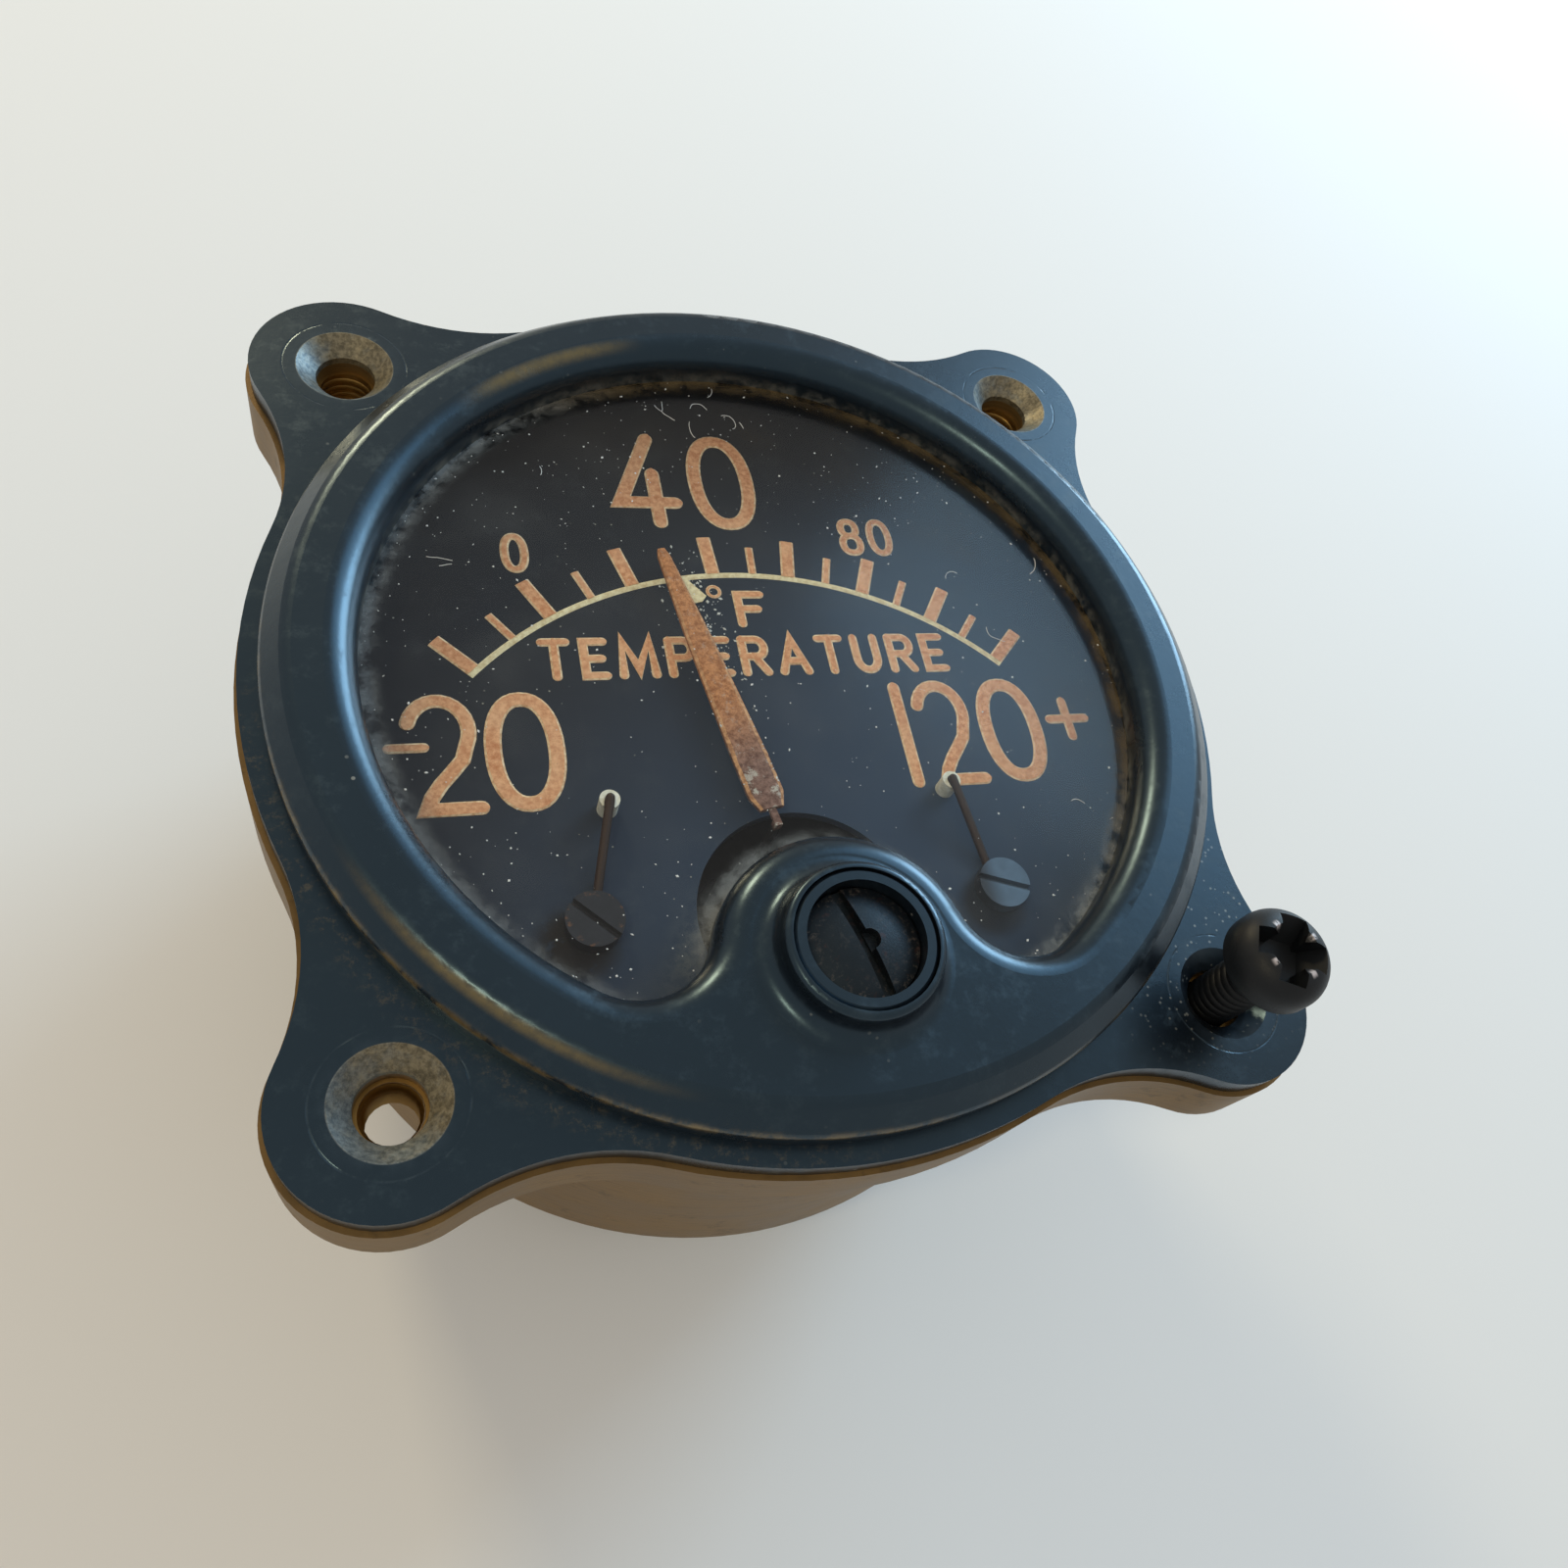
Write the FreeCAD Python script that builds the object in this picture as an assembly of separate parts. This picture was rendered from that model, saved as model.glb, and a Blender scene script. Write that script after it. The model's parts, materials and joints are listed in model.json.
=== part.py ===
import FreeCAD, Part
import math
import os

os.makedirs("parts", exist_ok=True)

V = FreeCAD.Vector
UP = V(0, 0, 1)

# Panel-mounted carburetor temperature gauge, in millimetres.
# The origin is the centre of the flange's front face, which lies against the back of the panel.
# The dial faces +Z and its zenith is +Y. Depths behind the panel are negative.

# Clearances
run_gap = 0.05          # radial, shaft in its hole
seat_gap = 0.1          # between stacked pieces that only rest on each other
head_gap = 0.1          # radial, slotted head in its recess
stem_gap = 0.2          # radial, adjuster stem in the cover and in its washer

# Mounting pattern: four holes on a 3.5 inch circle. The round sizes below step inwards from it.
hole_circle_r = 44.45
mount_screw_r = 2.08    # No. 8 screw, over its thread
mount_thread_depth = 0.33
mount_screw_gap = 0.3   # radial, screw in the flange
sink_r = 3.81           # mouth of the 90 degree countersink

# Flange of the front cover
disc_inset = 4.45       # rim of the disc inside the hole circle
ear_r = 7.45
ear_blend = 18.0        # concave curve from the disc to each ear
cover_t = 2.0

# Bezel raised on the front cover
bezel_inset = 1.54      # step inside the rim of the disc
step_h = 1.9            # upright step that fits the panel cutout
step_round = 0.7
crown_inset = 1.86      # crown edge inside the step
crown_h = 3.7
crown_round = 1.2
bezel_w = 4.75          # crown edge to window
opening_round = 2.2
ledge_h = 0.1           # ledge that the glass is pressed against

# Lobe and boss round the zero adjuster
adjuster_inset = 5.75   # adjuster axis inside the window's round
adjuster_drop = 6.2     # adjuster axis below the pointer axis
lobe_r = 9.9
lobe_blend = 5.5
boss_r = 5.9
boss_edge_round = 0.5
boss_flare = 1.6
boss_h = 2.8            # above the bezel crown
boss_bore_r = 5.3
boss_floor = 2.3        # floor of the boss above the ledge

# Adjuster collar and slotted zero adjuster
collar_wall = 0.9
collar_bevel = 0.25
collar_floor_t = 1.0
collar_sunk = 0.05
adjuster_rim_t = 1.7
adjuster_dome_h = 0.7
adjuster_stem_r = 2.0
adjuster_slot_w = 0.9
adjuster_slot_depth = 1.2
adjuster_slot_turn = 16.0
adjuster_nick_r = 0.75  # slot worn wide beside its middle
adjuster_nick_side = 0.45
stem_below_glass = 1.0
pin_past_lever = 0.5
eccentric_throw = 1.0
eccentric_r = 0.5
washer_spring_t = 0.6
washer_overhang = 0.4   # spring washer stands out past the clip
clip_t = 0.4
clip_r = 3.6
clip_mouth_half = 1.2
clip_mouth_depth = 0.8  # open end stops this far below the stem's axis
glass_hole_r = 4.6

# Glass, gasket, dial and their ring
glass_t = 1.6
glass_lap = 2.45        # glass behind the bezel
glass_edge_gap = 0.3
gasket_w = 1.4
ring_inset = 1.3        # distance ring behind the bezel
ring_h = 2.0
dial_lap = 3.35         # dial behind the bezel
dial_edge_gap = 0.2
dial_t = 0.8
dial_hole_r = 8.85

# Dial screws and their posts
post_x = 16.7
post_rise = 0.6         # above the pointer axis
post_r = 2.4
post_len = 9.2
dial_screw_r = 1.2
dial_screw_head_r = 2.2
dial_screw_head_h = 1.2
dial_screw_len = 6.0
left_slot_turn = -45.0
right_slot_turn = -20.0

# Pointer stops: a sleeved wire each side of the pointer
stop_x = 14.4
stop_rise = 10.1        # above the pointer axis
sleeve_r = 0.8
sleeve_h = 1.8
sleeve_notch_depth = 0.45
stop_wire_r = 0.35
stop_knee_h = 0.25      # knee of the wire above its sleeve
eyelet_r = 2.0
eyelet_t = 0.3

# Case
case_lip = 0.4          # case flange stands out past the cover by this
case_flange_t = 6.0
case_flange_bevel = 0.6
body_inset = 1.7        # body inside the rim of the disc
stud_head_gap = 0.7     # terminal heads clear of the rear jewel screw
case_wall = 2.5
shoulder_w = 1.2        # seat of the dial
lug_r = 4.2
lug_inset = 3.6         # lug axis inside the case bore
lug_count = 3

# Threaded inserts and the screws that hold the cover
insert_r = 3.0
insert_len = 5.0
cover_screw_back = 3.45 # from the ear's hole towards the middle
cover_screw_side = 4.2  # and sideways
cover_screw_turn = 20.0
cover_screw_r = 0.95
cover_screw_head_r = 1.7
cover_screw_head_h = 1.2
cover_screw_bite = 1.3

# Mounting screw, standing part of the way out
screw_lift = 6.0
screw_len = 12.7
screw_head_r = 3.95
screw_head_h = 3.6
screw_head_round = 2.3
screw_head_under = 0.4
screw_tip_bevel = 0.4
recess_span = 6.2
recess_w = 2.2
recess_worn_r = 2.1     # mouth worn round where the wings meet
recess_depth = 2.4
recess_turn = -25.0

# Magnet, pole pieces and core
magnet_room = 7.8       # between the magnet and the case wall
magnet_w = 9.5
magnet_foot_gap = 1.9   # magnet's feet clear of the movement screws
pole_room = 6.8         # between the pole pieces and the case wall
pole_foot_drop = 8.1    # below the pointer axis
pole_h = 12.0
pole_bore_r = 8.8
pole_gap_half = 2.5
core_r = 6.5
core_front_gap = 0.8
core_rear_gap = 0.6
support_t = 2.8

# Moving coil
coil_air = 0.5          # coil former clear of the core
former_t = 0.6
winding_t = 0.6
former_half_w = 1.5
winding_half_w = 1.3
coil_end_gap = 0.6      # coil former clear of the pole faces
staff_r = 0.5
staff_collar_r = 0.9

# Pointer, turned to its rest reading
pointer_turn = 10.9     # from +Y towards -X
pointer_len = 35.0
tip_half_w = 0.3
tip_taper = 0.8
tip_shoulder_half_w = 0.54
lance_waist_half_w = 1.1
lance_waist = 25.5
lance_half_w = 1.53
lance_root = 13.5
lance_end = 10.0
neck_start = 8.7
neck_half_w = 0.3
neck_drop_r = 7.2
pointer_t = 0.3
pointer_height = 1.25   # underside of the pointer above the dial
hub_r = 1.4
hub_h = 0.9
arm_r = 0.25
arm_len = 6.6
weight_r = 0.75
weight_w = 1.2
weight_at = 5.6

# Bridges that carry the pivots
bridge_half_w = 2.0
bridge_t = 1.2
bridge_under_dial = 0.6
bridge_pillar_x = 11.5
bridge_pillar_r = 1.8
bridge_boss_r = 2.5
bridge_boss_h = 0.8
bridge_screw_r = 0.9
bridge_screw_head_r = 1.5
bridge_screw_head_h = 0.5
bridge_screw_bite = 3.0
front_screw_turns = (30, 75)
rear_screw_turns = (50, 10)
rear_pillar_x = 12.5
rear_pillar_len = 3.3
jewel_r = 1.2
jewel_len = 2.6
jewel_slot_w = 0.35
jewel_slot_depth = 0.5
jewel_proud = 0.2       # jewel screw stands out towards the coil
pivot_play = 0.1

# Zero lever and hairsprings
lever_t = 0.5
lever_ring_w = 0.9
lever_half_w = 1.3
lever_reach = 1.2       # fork runs past the eccentric by this
fork_gap = 0.08
spring_outer_r = 4.5
spring_strip = 0.15
spring_h = 0.6
spring_turns = 3.0
spring_tail_r = 0.35
abutment_turn = -55.0
front_spring_below_bridge = 0.7
rear_spring_above_bridge = 0.8

# Movement plate and its screws
plate_t = 2.0
plate_edge_gap = 1.2
plate_hole_r = 9.5
plate_screw_gap = 0.6   # screw head clear of the pole pieces
plate_screw_r = 1.0
plate_screw_head_r = 1.8
plate_screw_head_h = 1.2
plate_screw_len = 5.0
plate_screw_turns = (15, 80, 40)

# Resistor spools behind the plate
spool_x = 14.0
spool_y = 18.0
spool_flange_r = 5.0
spool_core_r = 2.2
spool_len = 5.4
spool_flange_t = 0.7
spool_winding_r = 4.3
lead_r = 0.4
lead_bend = 1.0
lead_clear = 0.3        # third lead below the rear bridge
lead_inset = 1.5        # ends of the third lead from the edges they pass

# Rear cover and terminals
rear_cover_t = 1.8
rear_cover_bevel = 0.5
rear_screw_r = 1.2
rear_screw_head_r = 2.2
rear_screw_head_h = 1.3
rear_screw_len = 5.0
rear_cover_screw_turns = (70, 25, 110)
board_inset = 11.3      # board inside the rear cover's rim
board_t = 4.0
board_edge_bevel = 0.8
board_collar_r = 3.5
stud_r = 2.08
stud_inset = 7.0        # studs inside the board's rim
stud_count = 3
stud_first = 30.0
stud_tip_bevel = 0.4
stud_free = 6.4
stud_head_r = 3.8
stud_head_h = 2.2
washer_r = 4.2
washer_t = 0.6
nut_across = 7.9
nut_h = 2.6
nut_face_set_in = 0.1   # chamfered corners of the nut

# Radii and places that follow from the sizes above
hole_half = hole_circle_r / math.sqrt(2)
cover_r = hole_circle_r - disc_inset
bezel_r = cover_r - bezel_inset
crown_r = bezel_r - crown_inset
opening_r = crown_r - bezel_w
glass_edge_r = opening_r + glass_lap
ring_inner_r = opening_r + ring_inset
dial_r = opening_r + dial_lap
shoulder_r = dial_r - shoulder_w
counterbore_r = dial_r + dial_edge_gap
body_r = cover_r - body_inset
case_bore_r = body_r - case_wall
lug_ring_r = case_bore_r - lug_inset
magnet_outer_r = case_bore_r - magnet_room
magnet_inner_r = magnet_outer_r - magnet_w
pole_r = case_bore_r - pole_room
plate_r = case_bore_r - plate_edge_gap
plate_screw_ring_r = pole_r + plate_screw_gap + plate_screw_head_r
board_r = body_r - board_inset
stud_ring_r = board_r - stud_inset
collar_r = boss_bore_r - run_gap
collar_bore_r = collar_r - collar_wall
insert_bore_r = mount_screw_r + run_gap
spring_anchor_r = spring_outer_r + spring_strip / 2 + spring_tail_r
adjuster_y = adjuster_inset - opening_r
pivot_y = adjuster_y + adjuster_drop
post_y = pivot_y + post_rise
stop_y = pivot_y + stop_rise
magnet_foot_y = plate_screw_head_r + magnet_foot_gap - plate_screw_ring_r * math.sin(math.radians(30))
pole_foot_y = pivot_y - pole_foot_drop

# Levels that follow from the sizes above
bolt_hole_r = mount_screw_r + mount_screw_gap
sink_depth = sink_r - bolt_hole_r
boss_top = crown_h + boss_h
boss_floor_z = ledge_h + boss_floor
glass_low = ledge_h - glass_t
cover_back = -cover_t
dial_top = cover_back - ring_h
dial_low = dial_top - dial_t
pole_top = dial_low - post_len
plate_top = pole_top - pole_h
plate_low = plate_top - plate_t
flange_back = cover_back - case_flange_t
insert_top = flange_back + insert_len
bridge_top = dial_low - bridge_under_dial
bridge_low = bridge_top - bridge_t
lever_low = bridge_top + seat_gap
front_spring_top = bridge_low - front_spring_below_bridge
hub_top = front_spring_top - spring_h - bridge_under_dial
coil_front = pole_top + coil_end_gap
coil_rear = plate_top - coil_end_gap
winding_front = coil_front + former_t + winding_t
winding_rear = coil_rear - former_t - winding_t
rear_bridge_top = plate_low - rear_pillar_len
rear_bridge_low = rear_bridge_top - bridge_t
rear_spring_low = rear_bridge_top + rear_spring_above_bridge
rear_jewel_low = rear_bridge_top + jewel_proud - jewel_len
case_back = rear_jewel_low - stud_head_gap - stud_head_h
rear_low = case_back - rear_cover_t
board_low = rear_low - board_t
washer_low = board_low - washer_t
nut_low = washer_low - nut_h
stud_tip = nut_low - stud_free


# Shape helpers

def rod(r, z_low, z_high, x=0.0, y=0.0):
    return Part.makeCylinder(r, z_high - z_low, V(x, y, z_low))


def tube(r_out, r_in, z_low, z_high, x=0.0, y=0.0):
    return rod(r_out, z_low, z_high, x, y).cut(rod(r_in, z_low - 1, z_high + 1, x, y))


def bar(x_low, x_high, y_low, y_high, z_low, z_high):
    size = V(x_high - x_low, y_high - y_low, z_high - z_low)
    return Part.makeBox(size.x, size.y, size.z, V(x_low, y_low, z_low))


def plate_from(edges, z_low, z_high):
    face = Part.Face(Part.Wire(edges))
    face.translate(V(0, 0, z_low))
    return face.extrude(V(0, 0, z_high - z_low))


def polygon(points, z_low, z_high):
    corners = [V(x, y, 0) for x, y in points]
    face = Part.Face(Part.makePolygon(corners + corners[:1]))
    face.translate(V(0, 0, z_low))
    return face.extrude(V(0, 0, z_high - z_low))


def turned(profile, x=0.0, y=0.0):
    corners = [V(r, 0, z) for r, z in profile]
    face = Part.Face(Part.makePolygon(corners + corners[:1]))
    solid = face.revolve(V(0, 0, 0), UP, 360)
    solid.translate(V(x, y, 0))
    return solid


def arc_about(centre, radius, start, end):
    middle = (start - centre).normalize() + (end - centre).normalize()
    return Part.Arc(start, centre + middle.normalize() * radius, end).toShape()


def around(shape, degrees, x=0.0, y=0.0):
    turned_copy = shape.copy()
    turned_copy.rotate(V(x, y, 0), UP, degrees)
    return turned_copy


def mirrored(shape):
    return shape.mirror(V(0, 0, 0), V(1, 0, 0))


def fused(first, *others):
    return first.fuse(list(others)).removeSplitter()


def circle_edges(shape, radius, z):
    found = []
    for edge in shape.Edges:
        is_round = hasattr(edge.Curve, "Radius")
        if is_round and abs(edge.Curve.Radius - radius) < 1e-4 and abs(edge.Curve.Center.z - z) < 1e-4:
            found.append(edge)
    return found


def save(name, *solids):
    shape = solids[0] if len(solids) == 1 else Part.makeCompound(list(solids))
    shape.exportStep("parts/" + name + ".step")


def ear_spots():
    return [(hole_half, hole_half), (-hole_half, hole_half), (-hole_half, -hole_half), (hole_half, -hole_half)]


def ring_spots(radius, count, first_deg):
    step = 360.0 / count
    angles = [math.radians(first_deg + step * k) for k in range(count)]
    return [(radius * math.cos(a), radius * math.sin(a)) for a in angles]


def eared_outline(disc_r, corner_r, blend_r):
    # A disc with four round ears, each joined to it by two concave arcs.
    outer = disc_r + blend_r
    cos_swing = (outer ** 2 + hole_circle_r ** 2 - (corner_r + blend_r) ** 2) / (2 * outer * hole_circle_r)
    swing = math.acos(cos_swing)
    origin = V(0, 0, 0)
    edges = []
    starts = []
    ends = []
    for quarter in range(4):
        toward = math.radians(45 + 90 * quarter)
        ear = V(hole_circle_r * math.cos(toward), hole_circle_r * math.sin(toward), 0)
        before = V(outer * math.cos(toward - swing), outer * math.sin(toward - swing), 0)
        after = V(outer * math.cos(toward + swing), outer * math.sin(toward + swing), 0)
        on_disc_before = before * (disc_r / outer)
        on_disc_after = after * (disc_r / outer)
        on_ear_before = ear + (before - ear) * (corner_r / (corner_r + blend_r))
        on_ear_after = ear + (after - ear) * (corner_r / (corner_r + blend_r))
        edges.append(arc_about(before, blend_r, on_disc_before, on_ear_before))
        edges.append(arc_about(ear, corner_r, on_ear_before, on_ear_after))
        edges.append(arc_about(after, blend_r, on_ear_after, on_disc_after))
        starts.append(on_disc_before)
        ends.append(on_disc_after)
    for quarter in range(4):
        edges.append(arc_about(origin, disc_r, ends[quarter], starts[(quarter + 1) % 4]))
    return Part.__sortEdges__(edges)


def opening_outline():
    # The round window, narrowed at the bottom by the lobe round the adjuster.
    lobe = V(0, adjuster_y, 0)
    origin = V(0, 0, 0)
    inner = opening_r - lobe_blend
    outer = lobe_r + lobe_blend
    drop = -adjuster_y
    y = (outer ** 2 - inner ** 2 - drop ** 2) / (2 * drop)
    x = math.sqrt(inner ** 2 - y ** 2)
    right = V(x, y, 0)
    left = V(-x, y, 0)
    rim_right = right * (opening_r / inner)
    rim_left = left * (opening_r / inner)
    lobe_right = lobe + (right - lobe) * (lobe_r / outer)
    lobe_left = lobe + (left - lobe) * (lobe_r / outer)
    return [
        Part.Arc(rim_right, V(0, opening_r, 0), rim_left).toShape(),
        arc_about(left, lobe_blend, rim_left, lobe_left),
        Part.Arc(lobe_left, lobe + V(0, lobe_r, 0), lobe_right).toShape(),
        arc_about(right, lobe_blend, lobe_right, rim_right),
    ]


def screw(r, length, head_r, head_h, seat_z, x, y, slot_turn, down=True, slot_w=0.5):
    # A slotted cheese-head screw. With down, the shank points to -Z and the head lies above seat_z.
    way = 1 if down else -1
    shank = rod(r, min(seat_z, seat_z - way * length), max(seat_z, seat_z - way * length))
    head = rod(head_r, min(seat_z, seat_z + way * head_h), max(seat_z, seat_z + way * head_h))
    top = seat_z + way * head_h
    deep = top - way * head_h * 0.5
    slot = bar(-head_r - 1, head_r + 1, -slot_w / 2, slot_w / 2, min(top + way, deep), max(top + way, deep))
    solid = fused(shank, head).cut(around(slot, slot_turn))
    solid.translate(V(x, y, 0))
    return solid


# Front cover: flange, bezel, lobe and boss in one casting

def front_cover():
    flange = plate_from(eared_outline(cover_r, ear_r, ear_blend), cover_back, 0)
    bezel = turned([
        (0, cover_back),
        (bezel_r, cover_back),
        (bezel_r, step_h),
        (crown_r, crown_h),
        (0, crown_h),
    ])
    bezel = bezel.makeFillet(crown_round, circle_edges(bezel, crown_r, crown_h))
    bezel = bezel.makeFillet(step_round, circle_edges(bezel, bezel_r, step_h))
    cover = fused(flange, bezel)
    cover = cover.cut(plate_from(opening_outline(), ledge_h - 1, crown_h + 1))
    cover = cover.cut(rod(glass_edge_r + glass_edge_gap, cover_back - 1, ledge_h))
    rim = []
    for edge in cover.Edges:
        at_crown = all(abs(v.Z - crown_h) < 1e-4 for v in edge.Vertexes)
        middle = edge.valueAt((edge.FirstParameter + edge.LastParameter) / 2)
        if at_crown and abs(middle.z - crown_h) < 1e-4 and math.hypot(middle.x, middle.y) < opening_r + 0.1:
            rim.append(edge)
    cover = cover.makeFillet(opening_round, rim)
    boss = rod(boss_r, boss_floor_z, boss_top, 0, adjuster_y)
    cover = fused(cover, boss)
    cover = cover.makeFillet(boss_flare, circle_edges(cover, boss_r, crown_h))
    cover = cover.makeFillet(boss_edge_round, circle_edges(cover, boss_r, boss_top))
    cover = cover.cut(rod(boss_bore_r, boss_floor_z, boss_top + 1, 0, adjuster_y))
    cover = cover.cut(rod(adjuster_stem_r + stem_gap, ledge_h - 1, boss_floor_z + 1, 0, adjuster_y))
    for x, y in ear_spots():
        cone = Part.makeCone(bolt_hole_r, sink_r, sink_depth, V(x, y, -sink_depth))
        cover = cover.cut(cone)
        cover = cover.cut(rod(bolt_hole_r, cover_back - 1, 0, x, y))
    for x, y in cover_screw_spots():
        cover = cover.cut(rod(cover_screw_r, cover_back - 1, cover_back + cover_screw_bite + seat_gap, x, y))
    save("front_cover", cover)


def cover_screw_spots():
    spots = []
    for quarter in range(4):
        toward = math.radians(45 + 90 * quarter)
        along = V(math.cos(toward), math.sin(toward), 0)
        side = V(-math.sin(toward), math.cos(toward), 0)
        spot = along * (hole_circle_r - cover_screw_back) + side * cover_screw_side
        spots.append((spot.x, spot.y))
    return spots


def cover_screws():
    length = case_flange_t + cover_screw_bite
    made = [screw(cover_screw_r, length, cover_screw_head_r, cover_screw_head_h, flange_back,
                  x, y, cover_screw_turn, False) for x, y in cover_screw_spots()]
    save("cover_screws", *made)


# Window stack: glass, gasket, distance ring

def cover_glass():
    glass = rod(glass_edge_r, glass_low, ledge_h)
    save("cover_glass", glass.cut(rod(glass_hole_r, glass_low - 1, ledge_h + 1, 0, adjuster_y)))


def glass_gasket():
    outer = glass_edge_r + glass_edge_gap - seat_gap
    save("glass_gasket", tube(outer, outer - gasket_w, cover_back, glass_low))


def dial_ring():
    save("dial_ring", tube(counterbore_r - seat_gap, ring_inner_r, dial_top, cover_back))


# Dial with its central hole, screws and posts

def dial_plate():
    dial = rod(dial_r, dial_low, dial_top)
    dial = dial.cut(rod(dial_hole_r, dial_low - 1, dial_top + 1, 0, pivot_y))
    for x in (-post_x, post_x):
        dial = dial.cut(rod(dial_screw_r + run_gap, dial_low - 1, dial_top + 1, x, post_y))
    save("dial_plate", dial)


def dial_screws():
    seat = dial_top + eyelet_t
    left = screw(dial_screw_r, dial_screw_len, dial_screw_head_r, dial_screw_head_h, seat,
                 -post_x, post_y, left_slot_turn)
    right = screw(dial_screw_r, dial_screw_len, dial_screw_head_r, dial_screw_head_h, seat,
                  post_x, post_y, right_slot_turn)
    save("dial_screws", left, right)


def dial_posts():
    bore_low = dial_top + eyelet_t - dial_screw_len - seat_gap
    posts = []
    for x in (-post_x, post_x):
        post = rod(post_r, pole_top, dial_low, x, post_y)
        posts.append(post.cut(rod(dial_screw_r + run_gap, bore_low, dial_low + 1, x, post_y)))
    save("dial_posts", *posts)


# Pointer stops

def stop_wire_solid():
    # Upright core in the sleeve, a straight leg slanting down to the screw, and the eyelet under its head.
    bend = V(stop_x, stop_y, dial_top + sleeve_h + stop_knee_h)
    foot = V(stop_x, stop_y, dial_top)
    to_post = V(post_x - stop_x, post_y - stop_y, 0)
    land = V(post_x, post_y, dial_top + eyelet_t / 2) - to_post.normalize() * (eyelet_r - stop_wire_r)
    upright = Part.makeCylinder(stop_wire_r, bend.z - foot.z, foot)
    knee = Part.makeSphere(stop_wire_r, bend)
    leg = Part.makeCylinder(stop_wire_r, (land - bend).Length, bend, land - bend)
    eyelet = tube(eyelet_r, dial_screw_r + run_gap, dial_top, dial_top + eyelet_t, post_x, post_y)
    below_dial = bar(0, dial_r, -dial_r, dial_r, dial_low - 2, dial_top)
    head_room = rod(dial_screw_head_r + run_gap, dial_top + eyelet_t, dial_top + 3, post_x, post_y)
    return fused(upright, knee, leg, eyelet).cut(below_dial).cut(head_room)


def pointer_stops():
    right = stop_wire_solid()
    save("right_stop_wire", right)
    save("left_stop_wire", mirrored(right))
    top = dial_top + sleeve_h
    notch_half = stop_wire_r + run_gap
    sleeve = tube(sleeve_r, notch_half, dial_top, top, stop_x, stop_y)
    notch = bar(-notch_half, notch_half, -2 * sleeve_r, 0, top - sleeve_notch_depth, top + 1)
    to_post = math.degrees(math.atan2(post_x - stop_x, stop_y - post_y))
    notch.rotate(V(0, 0, 0), UP, to_post)
    notch.translate(V(stop_x, stop_y, 0))
    sleeve = sleeve.cut(notch)
    save("right_stop_sleeve", sleeve)
    save("left_stop_sleeve", mirrored(sleeve))


# Case: eared flange, round body, inner shoulder for the dial and three lugs for the movement

def case_body():
    flange = plate_from(eared_outline(cover_r + case_lip, ear_r + case_lip, ear_blend - case_lip),
                        flange_back, cover_back)
    low_edges = [e for e in flange.Edges if abs(e.BoundBox.ZMin - flange_back) < 1e-4
                 and abs(e.BoundBox.ZMax - flange_back) < 1e-4]
    flange = flange.makeChamfer(case_flange_bevel, low_edges)
    body = rod(body_r, case_back, flange_back + 1)
    case = fused(flange, body)
    hollow = turned([
        (0, cover_back + 1),
        (counterbore_r, cover_back + 1),
        (counterbore_r, dial_low),
        (shoulder_r, dial_low),
        (shoulder_r, flange_back),
        (case_bore_r, flange_back - (case_bore_r - shoulder_r)),
        (case_bore_r, case_back - 1),
        (0, case_back - 1),
    ])
    case = case.cut(hollow)
    lugs = [rod(lug_r, case_back, plate_low, x, y) for x, y in lug_spots(lug_ring_r)]
    inside = rod(body_r - case_wall / 2, case_back, plate_low)
    case = fused(case, *[lug.common(inside) for lug in lugs])
    for x, y in lug_spots(plate_screw_ring_r):
        depth = plate_screw_len - plate_t + seat_gap
        case = case.cut(rod(plate_screw_r + run_gap, plate_low - depth, plate_low + 1, x, y))
    for x, y in lug_spots(lug_ring_r):
        depth = rear_screw_len - rear_cover_t + seat_gap
        case = case.cut(rod(rear_screw_r + run_gap, case_back - 1, case_back + depth, x, y))
    for x, y in ear_spots():
        case = case.cut(rod(bolt_hole_r, insert_top, cover_back + 1, x, y))
        case = case.cut(rod(insert_r + run_gap, flange_back - 1, insert_top, x, y))
    for x, y in cover_screw_spots():
        case = case.cut(rod(cover_screw_r + run_gap, flange_back - 1, cover_back + 1, x, y))
    save("case_body", case)


def lug_spots(radius):
    return ring_spots(radius, lug_count, 90)


def threaded_inserts():
    made = [tube(insert_r, insert_bore_r, flange_back, insert_top, x, y) for x, y in ear_spots()]
    save("threaded_inserts", *made)


# Mounting screw in the lower right ear

def mounting_screw():
    top = screw_lift + screw_head_h
    head = rod(screw_head_r, screw_lift, top)
    head = head.makeFillet(screw_head_round, circle_edges(head, screw_head_r, top))
    head = head.makeFillet(screw_head_under, circle_edges(head, screw_head_r, screw_lift))
    root_r = mount_screw_r - mount_thread_depth
    shank = rod(root_r, screw_lift - screw_len, screw_lift)
    tip = circle_edges(shank, root_r, screw_lift - screw_len)
    shank = shank.makeChamfer(screw_tip_bevel, tip)
    body = fused(head, shank)
    wing = Part.Face(Part.makePolygon([
        V(-recess_span / 2, 0, top + 0.1),
        V(recess_span / 2, 0, top + 0.1),
        V(recess_span / 4, 0, top - recess_depth),
        V(-recess_span / 4, 0, top - recess_depth),
        V(-recess_span / 2, 0, top + 0.1),
    ]))
    wing.translate(V(0, -recess_w / 2, 0))
    wing = wing.extrude(V(0, recess_w, 0))
    worn = Part.makeCone(0, recess_worn_r, recess_worn_r, V(0, 0, top - recess_worn_r))
    body = body.cut(around(wing, recess_turn)).cut(around(wing, recess_turn + 90)).cut(worn)
    body.translate(V(hole_half, -hole_half, 0))
    save("mounting_screw", body)


# Zero adjuster and its collar in the boss

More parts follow.
